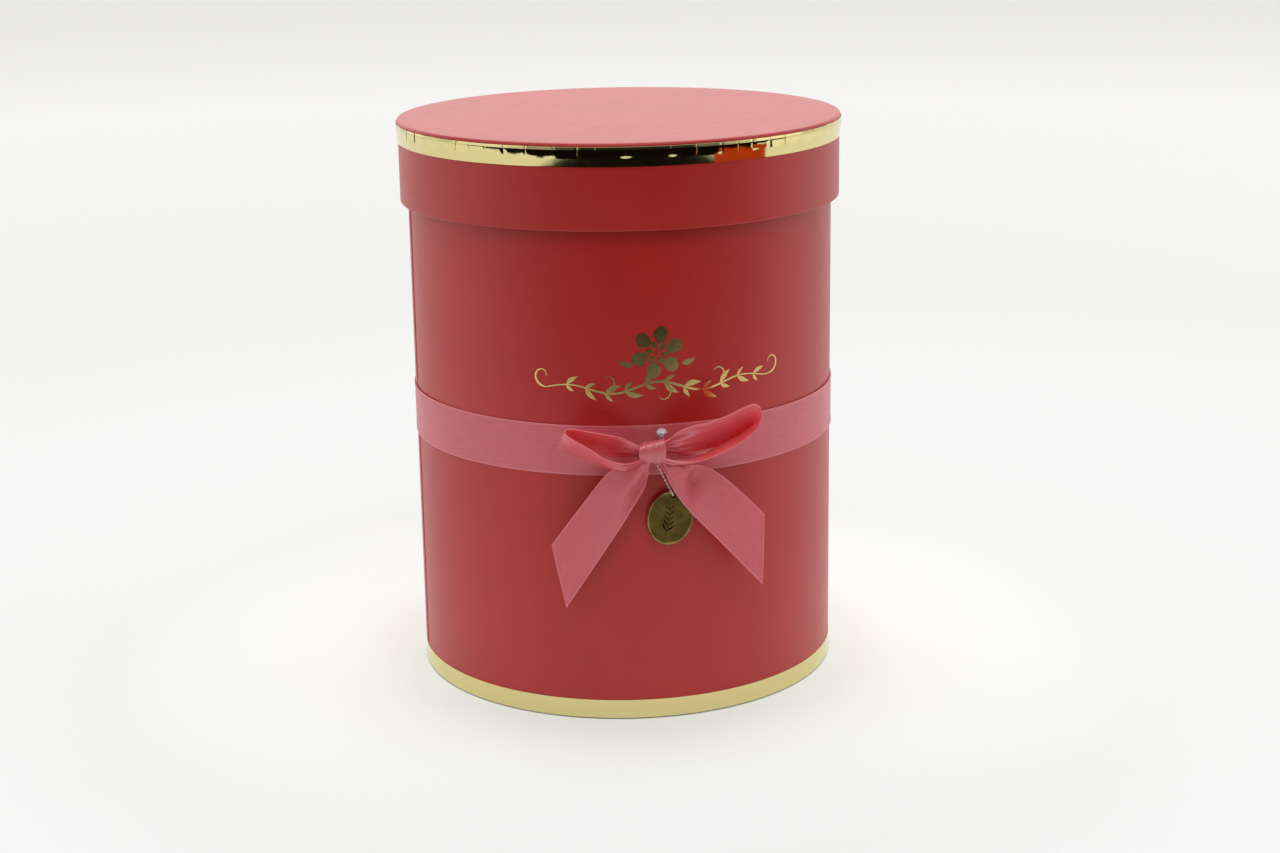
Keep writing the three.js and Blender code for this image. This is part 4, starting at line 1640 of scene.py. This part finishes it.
@dataclass
class Medal:
    """The oval stamped medal with a raised rim and a sprig in low relief. Sizes in millimetres."""

    wide: float = 18.0
    tall: float = 22.0
    thick: float = 1.2
    rim: float = 1.1
    recess: float = 0.3
    hole: float = 0.9
    hole_edge: float = 2.0
    lean: float = math.radians(9)

    def build(self) -> None:
        """Builds the medal and its relief, and hangs both from the ring's hole."""
        half, radius = self.thick / 2, self.tall / 2
        inside = radius - self.rim
        section = [
            (0, -half + self.recess - 0.06),
            (inside * 0.6, -half + self.recess - 0.02),
            (inside, -half + self.recess),
            (inside + 0.3, -half),
            (radius, -half),
            (radius, half),
            (inside + 0.3, half),
            (inside, half - self.recess),
            (inside * 0.6, half - self.recess + 0.02),
            (0, half - self.recess + 0.06),
        ]
        coin = revolve("charm_medal", fillet(section, {3: 0.12, 4: 0.42, 5: 0.42, 6: 0.12}, 5), 128)
        stand = Matrix.Rotation(math.pi / 2, 4, "X")
        oval = Matrix.Diagonal((self.wide / self.tall, 1.0, 1.0, 1.0))
        drop = Matrix.Translation((0, 0, (self.hole_edge - radius) * MM))
        coin.data.transform(drop @ oval @ stand)
        coin.data.materials.append(BRASS.material())
        coin.data.materials.append(RIM_HIGHLIGHT_BRASS.material())
        # faces of the raised rim take the lighter brass: a painted highlight
        for face in coin.data.polygons:
            spot = face.center
            away = math.hypot(spot.x * self.tall / self.wide, spot.z - (self.hole_edge - radius) * MM)
            face.material_index = int(away > (inside + 0.2) * MM)
        self.drill(coin)
        coin = baked(coin)
        shade(coin, 30)
        eye = Vector(next(j for j in frame["joints"] if j["name"] == "medal_swing")["pos_m"])
        hang = Matrix.Translation(eye) @ Matrix.Rotation(self.lean, 4, "Y")
        coin.data.transform(hang)
        mount_piece(coin, Body.CHARM, None, ["medal"])
        relief = self.relief(radius, half)
        relief.data.transform(hang)
        mount_piece(relief, Body.CHARM, BLACKENED)

    def drill(self, coin: bpy.types.Object) -> None:
        """Cuts the ring's hole, which is at the origin before the medal is hung."""
        mesh = bpy.data.meshes.new("hole_drill")
        round_hole = {"radius1": self.hole * MM, "radius2": self.hole * MM, "depth": 0.01}
        with edited(mesh) as shape:
            across = Matrix.Rotation(math.pi / 2, 4, "X")
            bmesh.ops.create_cone(shape, cap_ends=True, segments=40, matrix=across, **round_hole)
        drill = linked("hole_drill", mesh)
        cut = coin.modifiers.new("hole", "BOOLEAN")
        cut.operation = "DIFFERENCE"
        cut.solver = "EXACT"
        cut.object = drill
        bpy.context.view_layer.update()
        graph = bpy.context.evaluated_depsgraph_get()
        cut_mesh = bpy.data.meshes.new_from_object(coin.evaluated_get(graph))
        coin.modifiers.clear()
        coin.data = cut_mesh
        bpy.data.objects.remove(drill)

    def relief(self, radius: float, half: float) -> bpy.types.Object:
        """Builds the sprig: a curved stem with paired leaves, raised a little off the recess."""
        pen = FoilPrint()
        stem = pen.curl((-1.2, -7.2), math.radians(78), 12.5, 0.03, 0.6)
        strokes = [pen.brush(stem, 0.5, 0.4, 0.25)]
        for k in range(5):
            root = stem[6 + 7 * k]
            after = stem[7 + 7 * k]
            heading = math.atan2(after[1] - root[1], after[0] - root[0])
            size = 1 - 0.1 * k
            for side in (-1, 1):
                leaf = pen.curl(root, heading + side * 0.9, 4.0 * size, -0.12 * side, 0.0)
                strokes.append(pen.brush(leaf, 1.3 * size, 0.45, 0.15))
        vertices: list[Point3] = []
        faces: list[list[int]] = []
        face_y = -(half - self.recess)
        for stroke in strokes:
            count = len(stroke) // 2
            one, other = stroke[:count], stroke[: count - 1 : -1]
            base = len(vertices)
            for (ax, az), (bx, bz) in zip(one, other):
                mx, mz = (ax + bx) / 2, (az + bz) / 2
                for x, z, y in ((ax, az, face_y + 0.05), (mx, mz, face_y - 0.12), (bx, bz, face_y + 0.05)):
                    vertices.append((x * MM, y * MM, (z + self.hole_edge - radius) * MM))
            for k in range(count - 1):
                a = base + 3 * k
                faces += [[a, a + 3, a + 4, a + 1], [a + 1, a + 4, a + 5, a + 2], [a, a + 2, a + 5, a + 3]]
            last = base + 3 * (count - 1)
            faces += [[base, base + 1, base + 2], [last, last + 2, last + 1]]
        piece = new_object("charm_medal_sprig", np.array(vertices), faces)
        face_outwards(piece, 50.0)
        return piece


# ---------------------------------------------------------------- studio


@dataclass
class Studio:
    """Pale floor, soft lights and the camera. Lengths in metres."""

    eye: Point3 = (-0.10475, -0.91937, 0.34894)
    forward: Point3 = (0.11634, 0.95804, -0.26197)
    upward: Point3 = (0.04737, 0.25811, 0.96495)
    lens: float = 63.03

    def build(self) -> None:
        """Sets up the camera, floor, lights and surroundings."""
        self.place_camera()
        self.lay_floor()
        self.light()

    def place_camera(self) -> None:
        """Places the camera, on a 36 mm sensor; its lens suits a frame of 1280 by 853, which is not set here."""
        data = bpy.data.cameras.new("camera")
        data.lens = self.lens
        data.sensor_width = 36.0
        data.clip_start, data.clip_end = 0.05, 60.0
        camera = linked("camera", data)
        ahead = Vector(self.forward).normalized()
        up = Vector(self.upward).normalized()
        side = ahead.cross(up).normalized()
        up = side.cross(ahead)
        turn = Matrix((side, up, -ahead)).transposed().to_4x4()
        camera.matrix_world = Matrix.Translation(self.eye) @ turn
        bpy.context.scene.camera = camera

    def lay_floor(self) -> None:
        """Lays the pale floor, and a warm card in front that only reflections see."""
        floor = self.card("studio_floor", (0, 0, 0), (80.0, 80.0), 0.0)
        floor.data.materials.append(self.floor_finish())
        warm = self.card("studio_warm_card", (0, 0, 0), (1, 1), 0.0)
        (left, near), (right, far), tall = (0.45, -0.54), (0.66, -0.25), 0.12
        corners = ((left, near, 0), (right, far, 0), (right, far, tall), (left, near, tall))
        for vertex, spot in zip(warm.data.vertices, corners):
            vertex.co = spot
        warm.data.materials.append(self.matt("warm_studio_card", "B23A12", 0.9))
        warm.visible_camera = False
        warm.visible_shadow = False
        warm.visible_diffuse = False

    def card(self, name: str, place: Point3, size: Point2, tilt: float) -> bpy.types.Object:
        """A flat card, facing up before it is tilted about X."""
        x, y = size[0] / 2, size[1] / 2
        corners = np.array([(-x, -y, 0), (x, -y, 0), (x, y, 0), (-x, y, 0)])
        made = new_object(name, corners, [(0, 1, 2, 3)])
        made.matrix_world = Matrix.Translation(place) @ Matrix.Rotation(tilt, 4, "X")
        return made

    @staticmethod
    def matt(name: str, colour: str, roughness: float) -> bpy.types.Material:
        """A plain stage material."""
        made = bpy.data.materials.new(name)
        made.use_nodes = True
        shader = made.node_tree.nodes["Principled BSDF"]
        shader.inputs["Base Color"].default_value = linear(colour)
        shader.inputs["Roughness"].default_value = roughness
        shader.inputs["IOR"].default_value = 1.0
        return made

    def floor_finish(self) -> bpy.types.Material:
        """The floor's pale paint, a little deeper under the softboxes so that it reads even, and painted lighter and
        faintly blue-green close round the box against its shadow and pink bounce: painted light.

        Reflections and bounced light find it dark in front of the box, where a real table would end.
        """
        made = self.matt("pale_studio_floor", "E6E6E6", 0.7)
        tree = made.node_tree
        place = add_node(tree, "ShaderNodeTexCoord")
        away = add_node(tree, "ShaderNodeVectorMath", {0: place.outputs["Object"]}, operation="LENGTH")
        share = add_node(tree, "ShaderNodeMath", {0: away.outputs["Value"]}, {1: 4.0}, operation="DIVIDE")
        # lighter and faintly blue-green close round the box, painted light against its shadow and pink bounce; a
        # little deeper further out under the softboxes
        stops = [(0.03, "F8FFFF"), (0.056, "E6E9E9"), (0.2, "E6E6E6"), (0.5, "FFFFFF")]
        ramp = colour_ramp(tree, share, stops)
        axes = add_node(tree, "ShaderNodeSeparateXYZ", {"Vector": place.outputs["Object"]})
        limits = {"From Min": -0.6, "From Max": -0.54}
        table = add_node(tree, "ShaderNodeMapRange", {"Value": axes.outputs["Y"]}, limits)
        path = add_node(tree, "ShaderNodeLightPath")
        sources = {0: path.outputs["Is Camera Ray"], 1: table}
        lit = add_node(tree, "ShaderNodeMath", sources, operation="MAXIMUM")
        ends, dark = {"Factor": lit, 7: ramp}, {6: linear("0E0A09")}
        paint = add_node(tree, "ShaderNodeMix", ends, dark, data_type="RGBA")
        tree.links.new(paint.outputs[2], tree.nodes["Principled BSDF"].inputs["Base Color"])
        return made

    def light(self) -> None:
        """Hangs a large top light and two side lights, in a pale surround."""
        self.softbox("top_softbox", (0.1, 0.35, 1.9), (0, 0, 0.1), (2.4, 2.0), 14.0)
        self.softbox("front_softbox", (0.0, -0.8, 1.5), (0, -0.25, 0), (0.9, 0.45), 4.0)
        self.softbox("left_softbox", (-1.7, -0.35, 0.9), (0, 0, 0.15), (1.2, 1.4), 1.6)
        self.softbox("right_softbox", (1.8, -0.25, 0.9), (0, 0, 0.15), (1.2, 1.4), 2.6)
        world = bpy.data.worlds.new("pale_surround")
        world.use_nodes = True
        tree = world.node_tree
        ground = tree.nodes["Background"]
        way = add_node(tree, "ShaderNodeTexCoord")
        axes = add_node(tree, "ShaderNodeSeparateXYZ", {"Vector": way.outputs["Generated"]})
        room = [
            ("Y", -0.92, -0.45, 0.02, 0.79),  # dark in front
            ("Y", 0.25, 0.9, 0.0, 0.8),  # brightest at the back
            ("Z", 0.2, 0.6, 0.0, 0.79),
        ]
        names = ("From Min", "From Max", "To Min", "To Max")
        front, back, above = (
            add_node(
                tree,
                "ShaderNodeMapRange",
                {"Value": axes.outputs[axis]},
                dict(zip(names, limits)),
                interpolation_type="SMOOTHSTEP",
            )
            for axis, *limits in room
        )
        open_front = add_node(tree, "ShaderNodeMath", {0: front, 1: above}, operation="MAXIMUM")
        level = add_node(tree, "ShaderNodeMath", {0: open_front, 1: back}, operation="ADD")
        path = add_node(tree, "ShaderNodeLightPath")
        camera = path.outputs["Is Camera Ray"]
        seen = add_node(tree, "ShaderNodeMix", {"Factor": camera, "A": level}, {"B": 0.97})
        shades = {6: linear("F3F2F0"), 7: linear("F3F3F3")}
        colour = add_node(tree, "ShaderNodeMix", {"Factor": camera}, shades, data_type="RGBA")
        tree.links.new(seen.outputs[0], ground.inputs["Strength"])
        tree.links.new(colour.outputs[2], ground.inputs["Color"])
        bpy.context.scene.world = world
        bpy.context.scene.view_settings.view_transform = "Standard"

    def softbox(self, name: str, place: Point3, aim: Point3, size: Point2, power: float) -> None:
        """An area light that faces a point."""
        data = bpy.data.lights.new(name, "AREA")
        data.shape = "RECTANGLE"
        data.size, data.size_y = size
        data.energy = power
        lamp = linked(name, data)
        lamp.location = place
        lamp.rotation_mode = "QUATERNION"
        lamp.rotation_quaternion = (Vector(aim) - Vector(place)).to_track_quat("-Z", "Y")


def main() -> None:
    """Builds the studio and every piece of the flower box."""
    logging.basicConfig(level=logging.INFO, format="%(message)s")
    Studio().build()
    BodyShell().build()
    LidShell().build()
    RibbonBow().build()
    FoilPrint().build()
    BowPin().build()
    BallChain().build()
    Medal().build()


if __name__ == "__main__":
    main()
